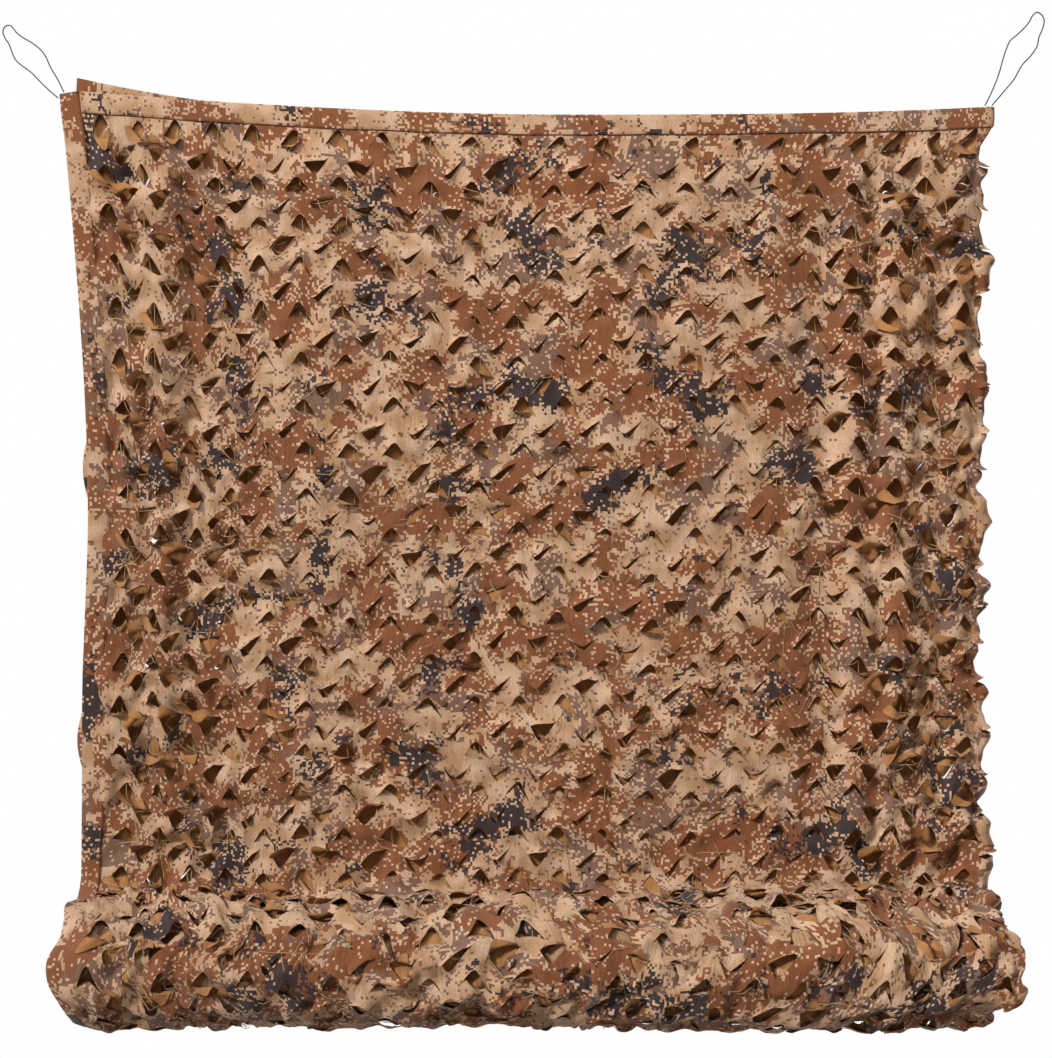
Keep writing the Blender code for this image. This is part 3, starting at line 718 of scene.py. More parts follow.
def crumpleAt(q, s, rolled):
    # soft swells less sharp creases, rougher at the sides, at the foot and on the roll
    inset = fromEdge(q)
    depth = noiseSum(inset, s, crumple["both"]) + noiseSum(q, s, crumple["own"])
    depth += rolled * noiseSum(inset, s, crumple["rolled"])
    everywhere, atSides, atFoot, onRoll = crumple["rough"]
    rough = everywhere + atSides * sideShare(inset) + atFoot * rise(s, *setsIn["foot"]) + onRoll * rolled
    rough = rough * (1.0 + noiseSum(inset, s, crumple["uneven"]))
    for amount, cell, seed, turn in crumple["creases"]:
        depth += rough * amount * creaseNoise(inset, s, cell, seed, turn)
    loose = rise(s, *setsIn["free"]) * rise(inset, 0.0, drift["edge"])
    return depth * loose * (1.0 - crumple["tight"] * rise(s, *setsIn["tight"]))


def placeAcross(q, s, gap, back):  # x = left edge + hung width times the spread share; and that share
    left, right = sideEdges(s, back)
    inset = fromEdge(q)
    share = np.clip((inset - net["border"]) / (net["foldAt"] - math.pi * gap / 4 - net["border"]), 0.0, 1.0)
    width = right - net["foldClear"] - gap / 2 - left - net["border"]
    return left + np.minimum(inset, net["border"]) + width * smoothTable(share, net["spread"], 1), share


def movedAcross(s, share):
    # Near the fold the cloth wanders and stands out in teeth, and the roll's inner turns end further in, by
    # the cube of the distance from the middle.
    wander = noiseSum(0.0, s, crumple["foldWander"]) * rise(s, *setsIn["wander"])
    atFold = (foldTeeth(s) - teeth["between"]) * share ** teeth["power"]
    atFold = atFold + wander * share ** crumple["wanderPower"]
    first, more = rollForm["innerInset"]
    inner = (first + more * rise(s, *setsIn["deep"])) * rise(s, *setsIn["innerTurn"])
    return atFold - inner * (2 * share - 1) ** 3


def clothPoint(q, s, out):
    # A row takes its y and z from the path. At the fold the cloth turns a half circle of angle a: x gains
    # (gap / 2 + out) sin a, and the depth behind the front layer is gap / 2 (1 - cos a) - out cos a, plus
    # the soft folds and the crumple, less the roll's lumps.
    q, s, out = np.broadcast_arrays(q, s, out)
    q, s = slipped(q, s)
    back = q > net["foldAt"]
    gap = net["gapTop"] + (net["gapFoot"] - net["gapTop"]) * softStep(s / net["rollAt"])
    turn = np.clip((q - net["foldAt"]) / (math.pi * gap / 2) + 0.5, 0.0, 1.0) * math.pi
    x, share = placeAcross(q, s, gap, back)
    length = s - topRise(x, back) * np.clip(1.0 - s / net["fadeDrop"], 0.0, 1.0)
    x = x + movedAcross(s, share)
    y, z, inY, inZ, angle = pathAt(length)
    rolled = rise(s, *setsIn["rolled"])
    nearEdge = np.clip(1.0 - fromEdge(q) / rollForm["turnedOver"], 0.0, 1.0)
    turnedIn = rollForm["turnedIn"] * rolled * nearEdge**2
    inward = (gap + sideBulge(q, s)) / 2 * (1.0 - np.cos(turn)) + foldDepth(x, s) + turnedIn
    inward = inward + crumpleAt(q, s, rolled) - rolled * rollLumps(x, angle)
    x = x + (gap / 2 + out) * np.sin(turn)
    pressed = rollForm["pressed"] * rise(inZ, *rollForm["under"])
    out = out - pressed * np.clip(out - rollForm["pressedFrom"], 0.0, None)
    z = np.maximum(z + inZ * inward, net["floor"]) - inZ * out * np.cos(turn)
    return np.stack([x, y + inY * (inward - out * np.cos(turn)), z], axis=-1)


# The leaf cuts are rows of rounded zigzag, with a tongue above or below each cut.
# Even rows are cut over their crests and odd rows under their troughs. A narrow band runs from an even row
# to the odd row below it and holds both kinds of tongue; the band from there to the next even row is wide
# and plain. A limb that falls to the right is steeper than one that rises, and each cut is longer on its
# right.
leaf = {
    "first": 0.056,  # middle of the first row
    "repeat": 0.069,  # from one even row to the next
    "narrow": 0.024,  # from an even row to the odd row below it
    "wave": 0.0175,
    "round": 0.88,
    "skew": 0.065,
    "columns": 16,  # of the grid, in one pitch
    "borderColumns": 3,
    "borderRows": 3,
    "firstRows": 4,  # from the border to the first cuts
    "narrowRows": 5,
    "wideRows": 7,
    "reach": [(5, 6), (4, 7)],  # columns from a tip to the two ends of its cut, in even and odd rows
    "tipColumn": [8, 15],
    "bands": 58,
    "seamBand": 35,  # the hanging pieces end half way down this band, at this row of its grid
    "seamRow": 4,
    "pastFold": 4,  # columns that the front pieces reach round the fold
    "height": 0.024,  # of a tongue
    "root": 0.35,  # share of its height over which the bend sets in
    "bow": 0.0045,  # the line along which it bends bows out by this
    "bendOver": 0.009,  # a tongue bends over this length
    "curlOn": 12.0,  # and curls on by this angle a metre
    "cornerPower": 1.5,  # how close to the cut the cloth beside it is pushed out
}

# How much the tongues stand open: everywhere, and what each place adds.
zoneOf = {
    "all": 0.52,
    "sides": 0.56,
    "left": 0.18,
    "leftEnd": (0.50, 0.20),  # where it ends, and over what share of the width
    "foot": 0.30,
    "roll": 0.32,
    "rollStart": (1.18, 0.10),  # drop where it sets in, and over what length
    "uneven": [(0.30, (0.16, 0.14), 8)],
    "range": (0.12, 1.20),  # least and most
}

# How each bends. Pairs are a value in the middle and what is added in the gathered cloth or where the back
# layer is clear of open tongues; threes are a value, and what is added by zone and by zone times a random
# number.
bend = {
    "seed": 21,
    "out": (0.20, 0.45, 1.65),  # curl of a tongue that stands out
    "in": (-0.30, -0.35, -1.10),  # and of one that tips in between the layers
    "power": (1.6, -0.6),  # of the random number
    "uprightIn": (0.72, -0.34),  # share of the upright tongues that tip back, and of the hanging ones
    "hangingIn": (0.14, 0.16),
    "sides": (1.0, 0.30),
    "atFold": (0.5, 0.5),
    "foldReach": 0.55,  # in pitches
    "backFrom": 0.1,
    "back": (0.18, 0.32),  # share of its curl that the back layer keeps
    "backLean": (0.3, 0.5),
    "clearFold": (0.04, 0.15),
    "clearTop": (0.08, 0.20),
    "clearSides": (1.0, -0.60),
    "clearLeft": (1.0, -0.60),
    "clearLeftEnd": (0.30, 0.12),
    "lean": (0.26, 0.32, 0.12),  # everywhere, by zone, at the sides
    "leanMost": 0.85,
    "start": (0.001, 0.009),  # flat cloth past the hinge: least, and more by chance where the zone is low
    "startRange": (1.25, 0.1, 1.0),
    "startFold": 0.003,
    "sway": (0.0015, 0.0045),
    "swayBack": 0.2,
    "push": 0.0080,  # out, of the corner on the other side of the cut
    "pushLess": (0.15, 0.40),  # of upright and hanging ones
    "pushZone": 0.4,
    "open": (0.0008, 0.0070),
    "openBack": (-0.0030, 0.0035),
}

# The bands between the cuts twist, and no part rises or sinks past its limits.
band = {
    "reach": (0.0026, 0.0044, 0.0070, 0.0055),  # everywhere, by zone, at the sides, on the roll
    "reachBack": 0.6,
    "mean": 0.30,
    "noise": [(1.0, (0.037, 0.031), 16)],
    "top": (0.04, 0.03),
    "edge": 0.06,
    "sink": 0.0012,  # past this depth the sinking levels off
    "roomBack": 0.0008,
    "room": (0.0040, -0.0022),  # at the top, and added towards the foot
    "roomOver": (0.5, 0.7),
    "roomBulge": 0.8,
    "lift": 0.0060,  # past this height the rise levels off
    "most": (0.0085, 0.0035, 0.0080, -0.0055),  # everywhere, in front, in front at the sides, on the roll
}


def rowDrop(row):  # drop of the middle of a row of cuts
    return leaf["first"] + leaf["repeat"] * (row // 2) + leaf["narrow"] * (row % 2)


def bandStart(row):  # grid row of a band's upper edge
    pair = leaf["narrowRows"] + leaf["wideRows"] + 2
    before = leaf["borderRows"] + leaf["firstRows"]
    return before + pair * (row // 2) + (leaf["narrowRows"] + 1) * (row % 2)


def waveAt(t):
    # t in pitches from a crest, turned by t + skew sin(pi t)^2: -A asin(r cos(2 pi turned)) / asin(r)
    turned = t + leaf["skew"] * np.sin(math.pi * t) ** 2
    rounded = np.arcsin(leaf["round"] * np.cos(2 * math.pi * turned)) / math.asin(leaf["round"])
    return -leaf["wave"] * rounded


def zigzag(q):  # the wave, level at both borders
    return waveAt((q - net["border"]) / net["pitch"] - 0.5) * np.clip(fromEdge(q) / net["border"], 0.0, 1.0)


def leafZone(q, s):  # how much the tongues stand open: most towards both sides, at the foot and on the roll
    zone = zoneOf["all"] + zoneOf["sides"] * sideShare(q)
    zone = zone + zoneOf["left"] * fall(widthShare(q), *zoneOf["leftEnd"])
    zone = zone + zoneOf["foot"] * rise(s, *setsIn["foot"]) + zoneOf["roll"] * rise(s, *zoneOf["rollStart"])
    return np.clip(zone + noiseSum(q, s, zoneOf["uneven"]), *zoneOf["range"])


def pairAt(name, share):
    first, added = bend[name]
    return first + added * share


def curlAt(name, zone, chance):
    least, fixed, random = bend[name]
    return least + zone * (fixed + random * chance)


def leafTraits():
    # for each row and tip: how its tongue is bent, and the lift and opening of the cloth beside it
    rng = np.random.default_rng(bend["seed"])
    row, tip = np.arange(leaf["bands"] + 1)[:, None], np.arange(2 * net["periods"] + 1)[None]
    upright = row % 2 == 0
    q = net["border"] + (tip + np.where(upright, *leaf["tipColumn"]) / leaf["columns"]) * net["pitch"]
    zone = leafZone(q, rowDrop(row))
    atSide = sideShare(q)
    chance = rng.random((6, *zone.shape))
    curl = curlAt("out", zone, chance[0] ** pairAt("power", atSide))
    tipsIn = chance[1] < np.where(upright, pairAt("uprightIn", atSide), pairAt("hangingIn", atSide))
    curl = np.where(tipsIn, curlAt("in", zone, chance[0]), curl) * pairAt("sides", atSide)
    atFold = ~upright & (np.abs(q - net["foldAt"]) < bend["foldReach"] * net["pitch"])
    curl = np.where(atFold, pairAt("atFold", chance[0]), curl)
    # the back layer's tongues stay nearly shut near its edges, where they lie behind open ones of the front
    back = ~atFold & (q > net["foldAt"] + bend["backFrom"] * net["pitch"])
    clear = rise(q - net["foldAt"], *bend["clearFold"]) * rise(rowDrop(row), *bend["clearTop"])
    atLeft = fall(widthShare(q), *bend["clearLeftEnd"])
    clear = clear * pairAt("clearSides", atSide) * pairAt("clearLeft", atLeft)
    curl = np.where(back, pairAt("back", clear) * np.abs(curl), curl)
    everywhere, byZone, bySide = bend["lean"]
    lean = rng.normal(0.0, 1.0, zone.shape) * (everywhere + byZone * zone + bySide * atSide)
    lean = lean * np.where(back, pairAt("backLean", clear), 1.0)
    level, least, most = bend["startRange"]
    start = pairAt("start", chance[2] * np.clip(level - zone, least, most))
    push = bend["push"] * (chance[4] - np.where(upright, *bend["pushLess"])) * (bend["pushZone"] + zone)
    return {
        "tipAt": q,
        "curl": curl,
        "lean": np.clip(lean, -bend["leanMost"], bend["leanMost"]),
        "start": np.where(atFold, bend["startFold"], start),
        "sway": pairAt("sway", chance[5]) * np.where(back, bend["swayBack"], 1.0),
        "push": push,
        "open": np.where(back | atFold, pairAt("openBack", clear), pairAt("open", zone * chance[3])),
    }


def gridColumns():  # q of each column: three in a border, 16 to a pitch between, three in the other border
    inner = np.arange(2 * net["periods"] * leaf["columns"] + 1) * net["pitch"] / leaf["columns"]
    edge = np.arange(leaf["borderColumns"]) * net["border"] / leaf["borderColumns"]
    return np.concatenate([edge, net["border"] + inner, 2 * net["foldAt"] - edge[::-1]])


def leafGrid():  # flat q and s of every grid point
    q = gridColumns()
    wave = zigzag(q)
    border = np.arange(leaf["borderRows"]) * net["border"] / leaf["borderRows"]
    part = np.arange(leaf["firstRows"])[:, None] / (leaf["firstRows"] - 1)
    blocks = [np.repeat(border[:, None], len(q), axis=1)]
    blocks.append(net["border"] + part * (leaf["first"] + wave - net["border"]))
    for row in range(leaf["bands"]):
        count = leaf["wideRows"] if row % 2 else leaf["narrowRows"]
        blocks.append(np.linspace(rowDrop(row), rowDrop(row + 1), count + 1)[:, None] + wave)
    s = np.concatenate(blocks)
    return np.broadcast_to(q, s.shape), s


def nearestCut(row):
    # for each column: its place from the nearest tip, that tip's number, and if it is cut there
    left, right = leaf["reach"][row % 2]
    middle = (right - left) // 2  # the cut's own middle column, so that each column has one nearest cut
    columns, span = leaf["columns"], 2 * net["periods"] * leaf["columns"]
    c = np.arange(-leaf["borderColumns"], span + 1 + leaf["borderColumns"])
    off = (c - leaf["tipColumn"][row % 2] - middle + columns // 2) % columns - columns // 2 + middle
    cut = (off > -left) & (off < right) & (c - off - left > 0) & (c - off + right < span)
    return off, (c - off) // columns, cut


def bendTongues(row, flat, hung, trait, off, cut):
    # The tongue lies below an upright tip and above a hanging one, in the narrow band. It bends along the
    # line between the ends of its cut: over the first millimetres, e of the distance d past it, by k e, and
    # then on in a slight curl of c. It lies at sin(k e) / k + (sin(k e + c r) - sin(k e)) / c along, r
    # being d - e, and as far out by cosines.
    odd = row % 2
    left, right = leaf["reach"][odd]
    edge = bandStart(row)
    way = 1.0 if odd else -1.0
    first = edge - 1 - leaf["narrowRows"] if odd else edge
    block = slice(first, first + leaf["narrowRows"] + 1)
    ends = np.array([-left, right]) / leaf["columns"]
    heights = waveAt((leaf["tipColumn"][odd] - leaf["tipColumn"][0]) / leaf["columns"] + ends)
    ends = ends * net["pitch"]
    slope = (heights[1] - heights[0]) / (ends[1] - ends[0])
    tilt = math.atan(slope)
    beside = flat["q"][block] - trait["tipAt"]
    hinge = rowDrop(row) + heights[0] + slope * (beside - ends[0])
    bow = leaf["bow"] * (1.0 - (2 * (off - (right - left) // 2) / (left + right)) ** 2)
    depth = np.clip(way * (flat["s"][block] - hinge) * math.cos(tilt) + bow, 0.0, None)
    depth = np.where(cut, depth, 0.0)
    d = depth * np.cos(trait["lean"]) + beside * np.sin(trait["lean"]) - trait["start"]
    d = np.clip(d, 0.0, None) * softStep(depth / (leaf["root"] * leaf["height"]))
    k, c = trait["curl"] / leaf["bendOver"], leaf["curlOn"] * np.sign(trait["curl"])
    e = np.minimum(d, leaf["bendOver"])
    angle, endAngle = k * e, k * e + c * (d - e)
    slide = np.sin(angle) / k + (np.sin(endAngle) - np.sin(angle)) / c - d
    turned = trait["lean"] - way * tilt
    hung["q"][block] += slide * np.sin(turned) - trait["sway"] * softStep(depth / leaf["height"])
    hung["s"][block] += slide * np.cos(turned) * way
    hung["lift"][block] += (1.0 - np.cos(angle)) / k + (np.cos(angle) - np.cos(endAngle)) / c


def openCorners(row, hung, trait, off, cut):
    # the corner of cloth on the other side of the cut, in the wide band
    odd = row % 2
    left, right = leaf["reach"][odd]
    edge = bandStart(row)
    block = slice(max(edge - 1 - leaf["wideRows"], leaf["borderRows"]), edge)
    if odd:
        block = slice(edge, edge + leaf["wideRows"] + 1)
    near = np.linspace(0.0, 1.0, block.stop - block.start)
    near = near[::-1] if odd else near
    across = (off - (right - left) // 2) / ((left + right) / 2)
    share = near[:, None] ** leaf["cornerPower"] * np.where(cut, hump(across), 0.0)
    hung["s"][block] += (1.0 if odd else -1.0) * share * trait["open"]
    hung["lift"][block] += share * trait["push"]


def settled(q, s, lift):
    # the bands twist by noise, and past its limits the lift levels off: limit + room tanh(rest / room)
    rolled = rise(s, *zoneOf["rollStart"])
    back = q > net["foldAt"]
    atSide = sideShare(q)
    everywhere, byZone, bySide, onRoll = band["reach"]
    reach = everywhere + byZone * leafZone(q, s) + bySide * atSide + onRoll * rolled
    reach = reach * np.where(back, band["reachBack"], 1.0)
    twist = reach * (band["mean"] + noiseSum(q, s, band["noise"])) * rise(s, *band["top"])
    lift = lift + twist * rise(fromEdge(q), 0.0, band["edge"])
    atTop, added = band["room"]
    room = atTop + added * rise(s, *band["roomOver"]) + band["roomBulge"] * sideBulge(q, s)
    room = np.where(back, band["roomBack"], room)
    deeper = lift + band["sink"]
    lift = np.where(deeper < 0.0, -band["sink"] + room * np.tanh(deeper / room), lift)
    everywhere, inFront, frontSide, onRoll = band["most"]
    front = np.where(back, 0.0, 1.0)
    most = everywhere + front * inFront + onRoll * rolled + frontSide * front * atSide * (1.0 - rolled)
    higher = lift - band["lift"]
    return np.where(higher > 0.0, band["lift"] + most * np.tanh(higher / most), lift)


def leafRows():
    # Hung q, s and lift of every grid point, the index grid with the two edges of each row joined where it
    # isn't cut, and the flat cloth's own metres for the print.
    q, s = leafGrid()
    flat = {"q": q, "s": s}
    hung = {"q": q.copy(), "s": s.copy(), "lift": np.zeros(s.shape)}
    place = np.arange(s.size).reshape(s.shape)
    traits = leafTraits()
    for row in range(leaf["bands"]):
        off, tip, cut = nearestCut(row)
        edge = bandStart(row)
        place[edge] = np.where(cut, place[edge], place[edge - 1])
        trait = {key: value[row, np.clip(tip, 0, 2 * net["periods"])] for key, value in traits.items()}
        bendTongues(row, flat, hung, trait, off, cut)
        openCorners(row, hung, trait, off, cut)
    lift = settled(hung["q"], hung["s"], hung["lift"])
    return hung["q"], hung["s"], lift, place, np.stack([q, -s], axis=-1).reshape(-1, 2)


def makeLeafSheets():
    q, s, lift, place, flat = leafRows()
    points = clothPoint(q, s, lift).reshape(-1, 3)
    total, columns = s.shape
    gaps = {bandStart(row) - 1 for row in range(leaf["bands"])}  # rows that have no faces below them
    starts = np.array([j for j in range(total - 1) if j not in gaps])
    seamRow = bandStart(leaf["seamBand"]) + leaf["seamRow"]
    foldColumn = leaf["borderColumns"] + net["periods"] * leaf["columns"] + leaf["pastFold"]
    made = {}
    for name, above, below, first, last, material, slotName, replaced in [
        ("front_net", 0, seamRow, 0, foldColumn, netMaterial, "net_cloth", "net_sheet"),
        ("back_net", 0, seamRow, foldColumn, columns - 1, netMaterial, "net_cloth", "net_sheet"),
        ("roll_skin", seamRow, total - 1, 0, foldColumn, rollMaterial, "roll_cloth", "net_roll"),
        ("roll_lining", seamRow, total - 1, foldColumn, columns - 1, rollMaterial, "roll_cloth", "net_roll"),
    ]:
        j = starts[(starts >= above) & (starts < below)][:, None]
        i = np.arange(first, last)[None]
        faces = np.stack([place[j, i], place[j + 1, i], place[j + 1, i + 1], place[j, i + 1]], axis=-1)
        piece = meshPiece(name, points, faces.reshape(-1, 4), flat, material)
        made[name] = seat(piece, [replaced])
        print(name, faces.size // 2, "triangles")
    return made


sheets = makeLeafSheets()
print("leaf-cut cloth: made")


# A binding is a strip folded over each edge. Its section runs from its inner edge behind the cloth, over
# the cloth's edge, to its inner edge in front: distance in from the edge, and out from the cloth's middle.
binding = {
    "section": [
        (0.0310, -0.0011), (0.0270, -0.0015), (0.0150, -0.0016), (0.0010, -0.0015), (-0.0006, -0.0010),
        (-0.0012, 0.0), (-0.0006, 0.0012), (0.0010, 0.0019), (0.0150, 0.0022), (0.0270, 0.0024),
        (0.0308, 0.0022), (0.0312, 0.0006),
    ],
    "step": 0.006,
    "pucker": 0.0007,
    "puckerCell": (0.011, 0.012),
    "wave": 0.0010,  # of the inner edges, which are those further in than this
    "waveCell": (0.06, 1.0),
    "waveFrom": 0.02,
    "seeds": {"top": 35, "front": 33, "back": 31},
    "printShift": {"top": 2.7, "front": 7.3, "back": 9.1},  # so that a strip's print isn't the cloth's
}


def stripSection(ends, kind):
    # Places along, and the section's in, out and run there, puckered by its stitches.
    along = np.linspace(*ends, round((ends[1] - ends[0]) / binding["step"]) + 1)
    section = np.array(binding["section"])
    run = np.concatenate([[0.0], np.cumsum(np.linalg.norm(np.diff(section, axis=0), axis=1))])
    inset, out = section[:, 0], section[:, 1]
    seed = binding["seeds"][kind]
    ripple = softNoise(along[:, None], inset * np.sign(out) + 1.0, binding["puckerCell"], seed)
    wave = softNoise(along[:, None], 0.0, binding["waveCell"], seed + 1)
    puckered = out + np.sign(out) * binding["pucker"] * (0.5 + 0.5 * ripple)
    return along, inset + binding["wave"] * wave * (inset > binding["waveFrom"]), puckered, run


def sideStrip(name, kind, ends, replaced=()):
    # Rows run down the edge and columns across the section, which runs the other way on the back layer.
    along, inset, out, run = stripSection(ends, kind)
    q = inset
    if kind == "back":
        q, out, run = 2 * net["foldAt"] - inset[:, ::-1], out[:, ::-1], run[::-1]
    points = clothPoint(q, along[:, None], out)
    across = run + binding["printShift"][kind]
    return clothPiece(name, points, across, -along[:, None], bindingMaterial, replaced)


def topStrip(name, replaced):
    ends = net["border"], 2 * net["foldAt"] - net["border"]
    along, inset, out, run = stripSection(ends, "top")
    points = clothPoint(along[:, None], inset, out).transpose(1, 0, 2)
    down = binding["printShift"]["top"] - run[:, None]
    return clothPiece(name, points, along, down, bindingMaterial, replaced)


hanging = (-0.0012, net["rollAt"])  # from just over the top edge
wound = (net["rollAt"], net["rollEnd"])
strips = {
    "top": topStrip("top_edge_strip", ["top_binding"]),
    "front": sideStrip("front_edge_strip", "front", hanging,
                       ["front_side_binding"]),
    "back": sideStrip("back_edge_strip", "back", hanging, ["back_side_binding"]),
    "roll": sideStrip("roll_edge_strip", "front", wound, ["roll_binding"]),
    "lining": sideStrip("lining_edge_strip", "back", wound),
}
print("bindings: made")


# Plain cloth of the roll's inner turns: narrow pieces at both ends, and the second turn behind the open
# leaves.
innerTurns = {
    "step": 0.008,
    "fold": [-0.055, -0.03, -0.012, *np.linspace(-0.005, 0.005, 7), 0.012, 0.03, 0.055],
    "edge": [0.026, 0.042, 0.060],
    "start": net["turnAt"] + 0.07,
    "secondColumns": 180,
    "secondStart": rowDrop(leaf["bands"]),
    "secondEnd": net["turnAt"] + 0.66,
}


def turnCloth(name, q, begin, end):
    along = np.arange(begin, end, innerTurns["step"])[:, None]
    return clothPiece(name, clothPoint(q, along, 0.0), q, -along, rollMaterial)


atFold, atEdge = np.array(innerTurns["fold"]), np.array(innerTurns["edge"])
acrossTurn = np.linspace(atEdge[-1], net["foldAt"] + atFold[0], innerTurns["secondColumns"])
turns = [
    turnCloth("inner_turns_fold", net["foldAt"] + atFold, innerTurns["start"], net["rollEnd"]),
    turnCloth("inner_turns_front", atEdge, innerTurns["start"], net["rollEnd"]),
    turnCloth("inner_turns_back", 2 * net["foldAt"] - atEdge[::-1], innerTurns["start"], net["rollEnd"]),
    turnCloth("second_turn", acrossTurn, innerTurns["secondStart"], innerTurns["secondEnd"]),
]
print("roll ends: made")


stitch = {
    "pitch": 0.0042,
    "length": 0.0031,
    "inset": 0.0268,
    "out": 0.0029,
    "arch": 0.0003,  # its middle stands out by this and its ends go in by it
    "radius": 0.00035,
    "down": (0.035, 2.0),
    "cornerGap": 0.003,
}


def stitchLines(q, s, alongQ):  # three points to a stitch
    part = np.array([-0.5, 0.0, 0.5]) * stitch["length"]
    out = stitch["out"] + np.array([-1.0, 1.0, -1.0]) * stitch["arch"]
    q, s = np.broadcast_arrays(q, s)
    if alongQ:
        return clothPoint(q[:, None] + part, s[:, None], out)
    return clothPoint(q[:, None], s[:, None] + part, out)


def makeStitches():
    first, last = net["border"] + stitch["cornerGap"], 2 * net["foldAt"] - net["border"]
    across = np.arange(first, last, stitch["pitch"])
    down = np.arange(*stitch["down"], stitch["pitch"])
    short = down[down < net["rollAt"]]
    lines = [
        stitchLines(across, stitch["inset"], True),
        stitchLines(stitch["inset"], down, False),
        stitchLines(2 * net["foldAt"] - stitch["inset"], short, False),
    ]
    return seat(meshPiece("stitches", *tubes(np.concatenate(lines), stitch["radius"], 4), seamMaterial))


# A slack mesh of thin string lies just behind each layer, and stray ends of it stand in the open leaves.
string = {
    "radius": 0.00050,
    "sides": 3,
    "first": (0.045, 0.071),  # the first that runs down, from the side; the first across, from the top
    "last": (0.02, 0.01),
    "points": (118, 0.0125),  # in a string across; metres between two points of one down
    "slackAcross": [(0.013, (0.071, 0.011), 41)],
    "slackDown": [(0.013, (0.077, 0.013), 42)],
    "out": -0.0022,
    "outAcross": [(0.0028, (0.06, 0.011), 43)],
    "outDown": [(0.0028, (0.06, 0.013), 44)],
    "side": 0.03,  # left bare at the bound edges, and at the fold
    "fold": 0.01,
}
stray = {
    "seed": 51,
    "count": 1100,
    "tries": 6,  # for each one kept
    "size": (net["foldAt"] - 0.12, 1.75),  # of the region that they are strewn over
    "corner": (0.06, 0.09),
    "points": 9,
    "reach": (0.012, 0.026),
    "aside": (-0.006, 0.006),
    "sag": (0.002, 0.010),
    "out": -0.001,
    "arch": (0.003, 0.010),
}


def stringMesh(name, begin, end, top, foot):
    count, step = string["points"]
    q = np.linspace(begin, end, count)
    s = np.linspace(top, foot, round((foot - top) / step))
    fromSide, fromTop = string["first"]
    toSide, toFoot = string["last"]
    rows = np.arange(fromTop, foot - toFoot, leaf["repeat"])
    rows = rows[rows > top][:, None]
    columns = np.arange(begin + fromSide, end - toSide, net["pitch"])[:, None]
    acrossS = rows + noiseSum(q, rows, string["slackAcross"])
    downQ = columns + noiseSum(s, columns, string["slackDown"])
    outAcross = string["out"] + noiseSum(q, rows, string["outAcross"])
    outDown = string["out"] + noiseSum(s, columns, string["outDown"])
    parts = [tubes(clothPoint(q, acrossS, outAcross), string["radius"], string["sides"]),
             tubes(clothPoint(downQ, s, outDown), string["radius"], string["sides"])]
    points = np.concatenate([parts[0][0], parts[1][0]])
    faces = np.concatenate([parts[0][1], parts[1][1] + len(parts[0][0])])
    return seat(meshPiece(name, points, faces, np.concatenate([parts[0][2], parts[1][2]]), stringMaterial))


def strayStrings():  # arcs from one side of an open leaf to the other: a parabola that sags and stands out
    rng = np.random.default_rng(stray["seed"])
    picked = rng.random((stray["count"] * stray["tries"], 2)) * stray["size"] + stray["corner"]
    zone = leafZone(picked[:, 0], picked[:, 1])
    picked = picked[rng.random(len(zone)) < zone**2][:stray["count"], None]
    one = (len(picked), 1)
    t = np.linspace(-1.0, 1.0, stray["points"])
    turn = rng.uniform(0.0, math.pi, one)
    reach = rng.uniform(*stray["reach"], one)
    arch = 1.0 - t * t
    q = picked[..., 0] + reach * np.cos(turn) * t + rng.uniform(*stray["aside"], one) * arch
    s = picked[..., 1] + reach * np.sin(turn) * t + rng.uniform(*stray["sag"], one) * arch
    out = stray["out"] + rng.uniform(*stray["arch"], one) * arch
    grid = tubes(clothPoint(q, s, out), string["radius"], string["sides"])
    return seat(meshPiece("stray_strings", *grid, stringMaterial))


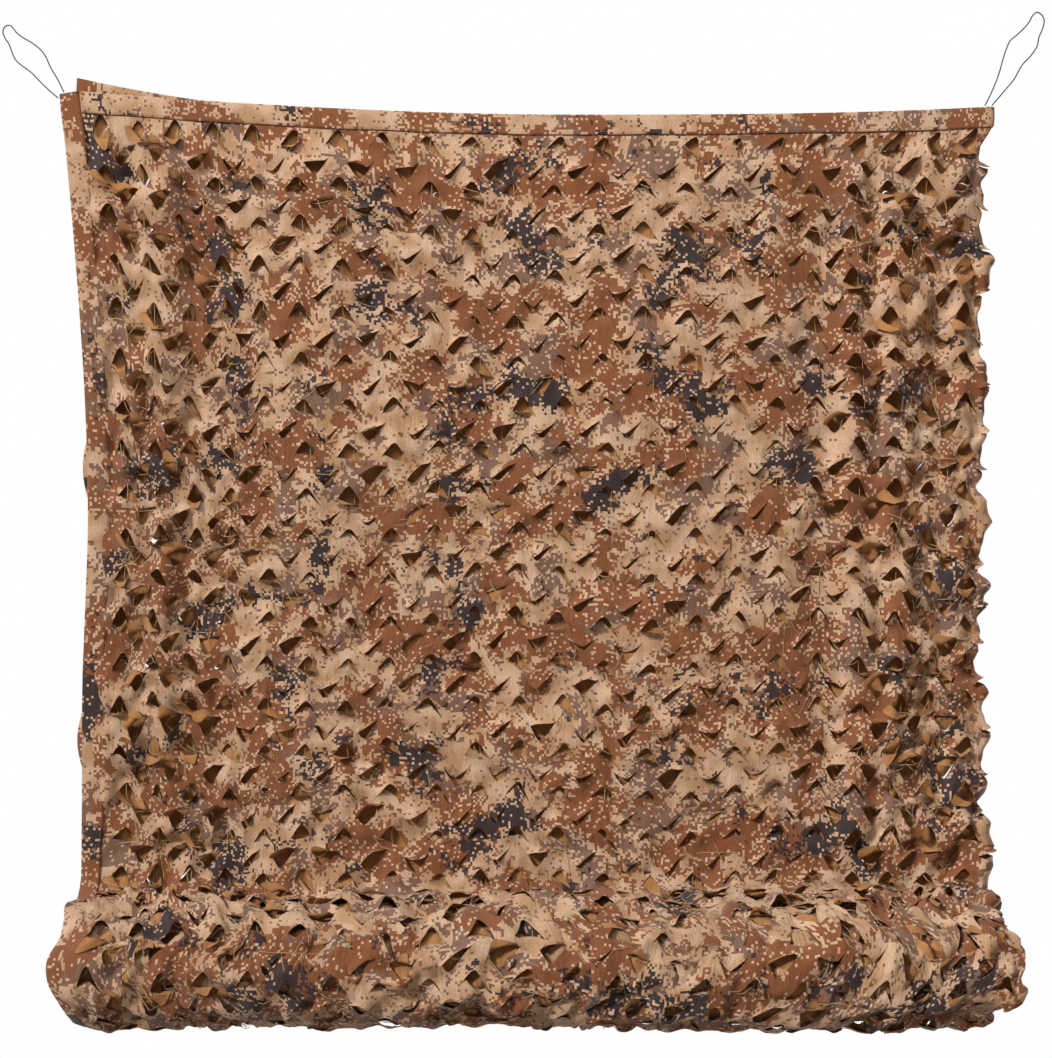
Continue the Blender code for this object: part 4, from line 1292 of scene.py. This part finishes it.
stitches = makeStitches()
frontEnds = (string["side"], net["foldAt"] - string["fold"])
backEnds = (net["foldAt"] + string["fold"], 2 * net["foldAt"] - string["side"])
strings = {
    "front": stringMesh("front_strings", *frontEnds, string["side"], net["rollAt"]),
    "back": stringMesh("back_strings", *backEnds, string["side"], net["rollAt"]),
    "roll": stringMesh("roll_strings", *frontEnds, net["rollAt"], net["turnAt"] + 0.02),
    "stray": strayStrings(),
}
print("stitches and strings: made")

# What the net was before it was hung: each layer is 1.52 m wide, and 3.7 m of it is in the roll.
print("cloth pieces: made")


studio = {
    "sunFrom": (-0.62, -0.62, 0.52),  # the light comes over the left shoulder
    "sunPower": 3.05,
    "sunAngle": 0.13,
    "sunColour": (1.0, 0.945, 0.878),
    "wall": 1.0,  # brightness behind the net
    "room": 0.26,  # brightness in front of it
    "roomColour": (1.0, 0.84, 0.68),
    "turnsWhite": (-0.15, 0.55),  # between these values of the direction's own y
    "topAt": (-0.5, -1.9, 1.2),  # a soft lamp above, so that the foot is a little darker
    "topAim": (0.0, 0.0, -0.35),
    "topSize": 1.0,
    "topWatts": 30.0,
    "topColour": (1.0, 0.94, 0.86),
}

def addLamp(name, kind, place, aim, power, colour):
    data = bpy.data.lights.new(name, kind)
    data.energy = power
    data.color = colour
    lamp = bpy.data.objects.new(name, data)
    lamp.location = place
    lamp.rotation_euler = (Vector(aim) - Vector(place)).to_track_quat("-Z", "Y").to_euler()
    scene.collection.objects.link(lamp)
    return data


sun = addLamp("sun", "SUN", studio["sunFrom"], (0.0, 0.0, 0.0), studio["sunPower"], studio["sunColour"])
sun.angle = studio["sunAngle"]
top = addLamp("top lamp", "AREA", studio["topAt"], studio["topAim"], studio["topWatts"], studio["topColour"])
top.size = studio["topSize"]


def makeWorld():  # white behind the net and dimmer in front, by the direction's own y
    made = bpy.data.worlds.new("white room")
    made.use_nodes = True
    tree = made.node_tree
    direction = addNode(tree, "ShaderNodeTexCoord").outputs["Generated"]
    depth = addNode(tree, "ShaderNodeSeparateXYZ", {0: direction}).outputs[1]
    share = smoothRange(tree, depth, *studio["turnsWhite"])
    brightness = mathNode(tree, "MULTIPLY_ADD", share, studio["wall"] - studio["room"], studio["room"])
    background = tree.nodes["Background"]
    tree.links.new(mixColours(tree, share, studio["roomColour"], (1.0, 1.0, 1.0)), background.inputs[0])
    tree.links.new(brightness, background.inputs[1])
    return made


scene.world = makeWorld()
scene.view_settings.view_transform = "Standard"
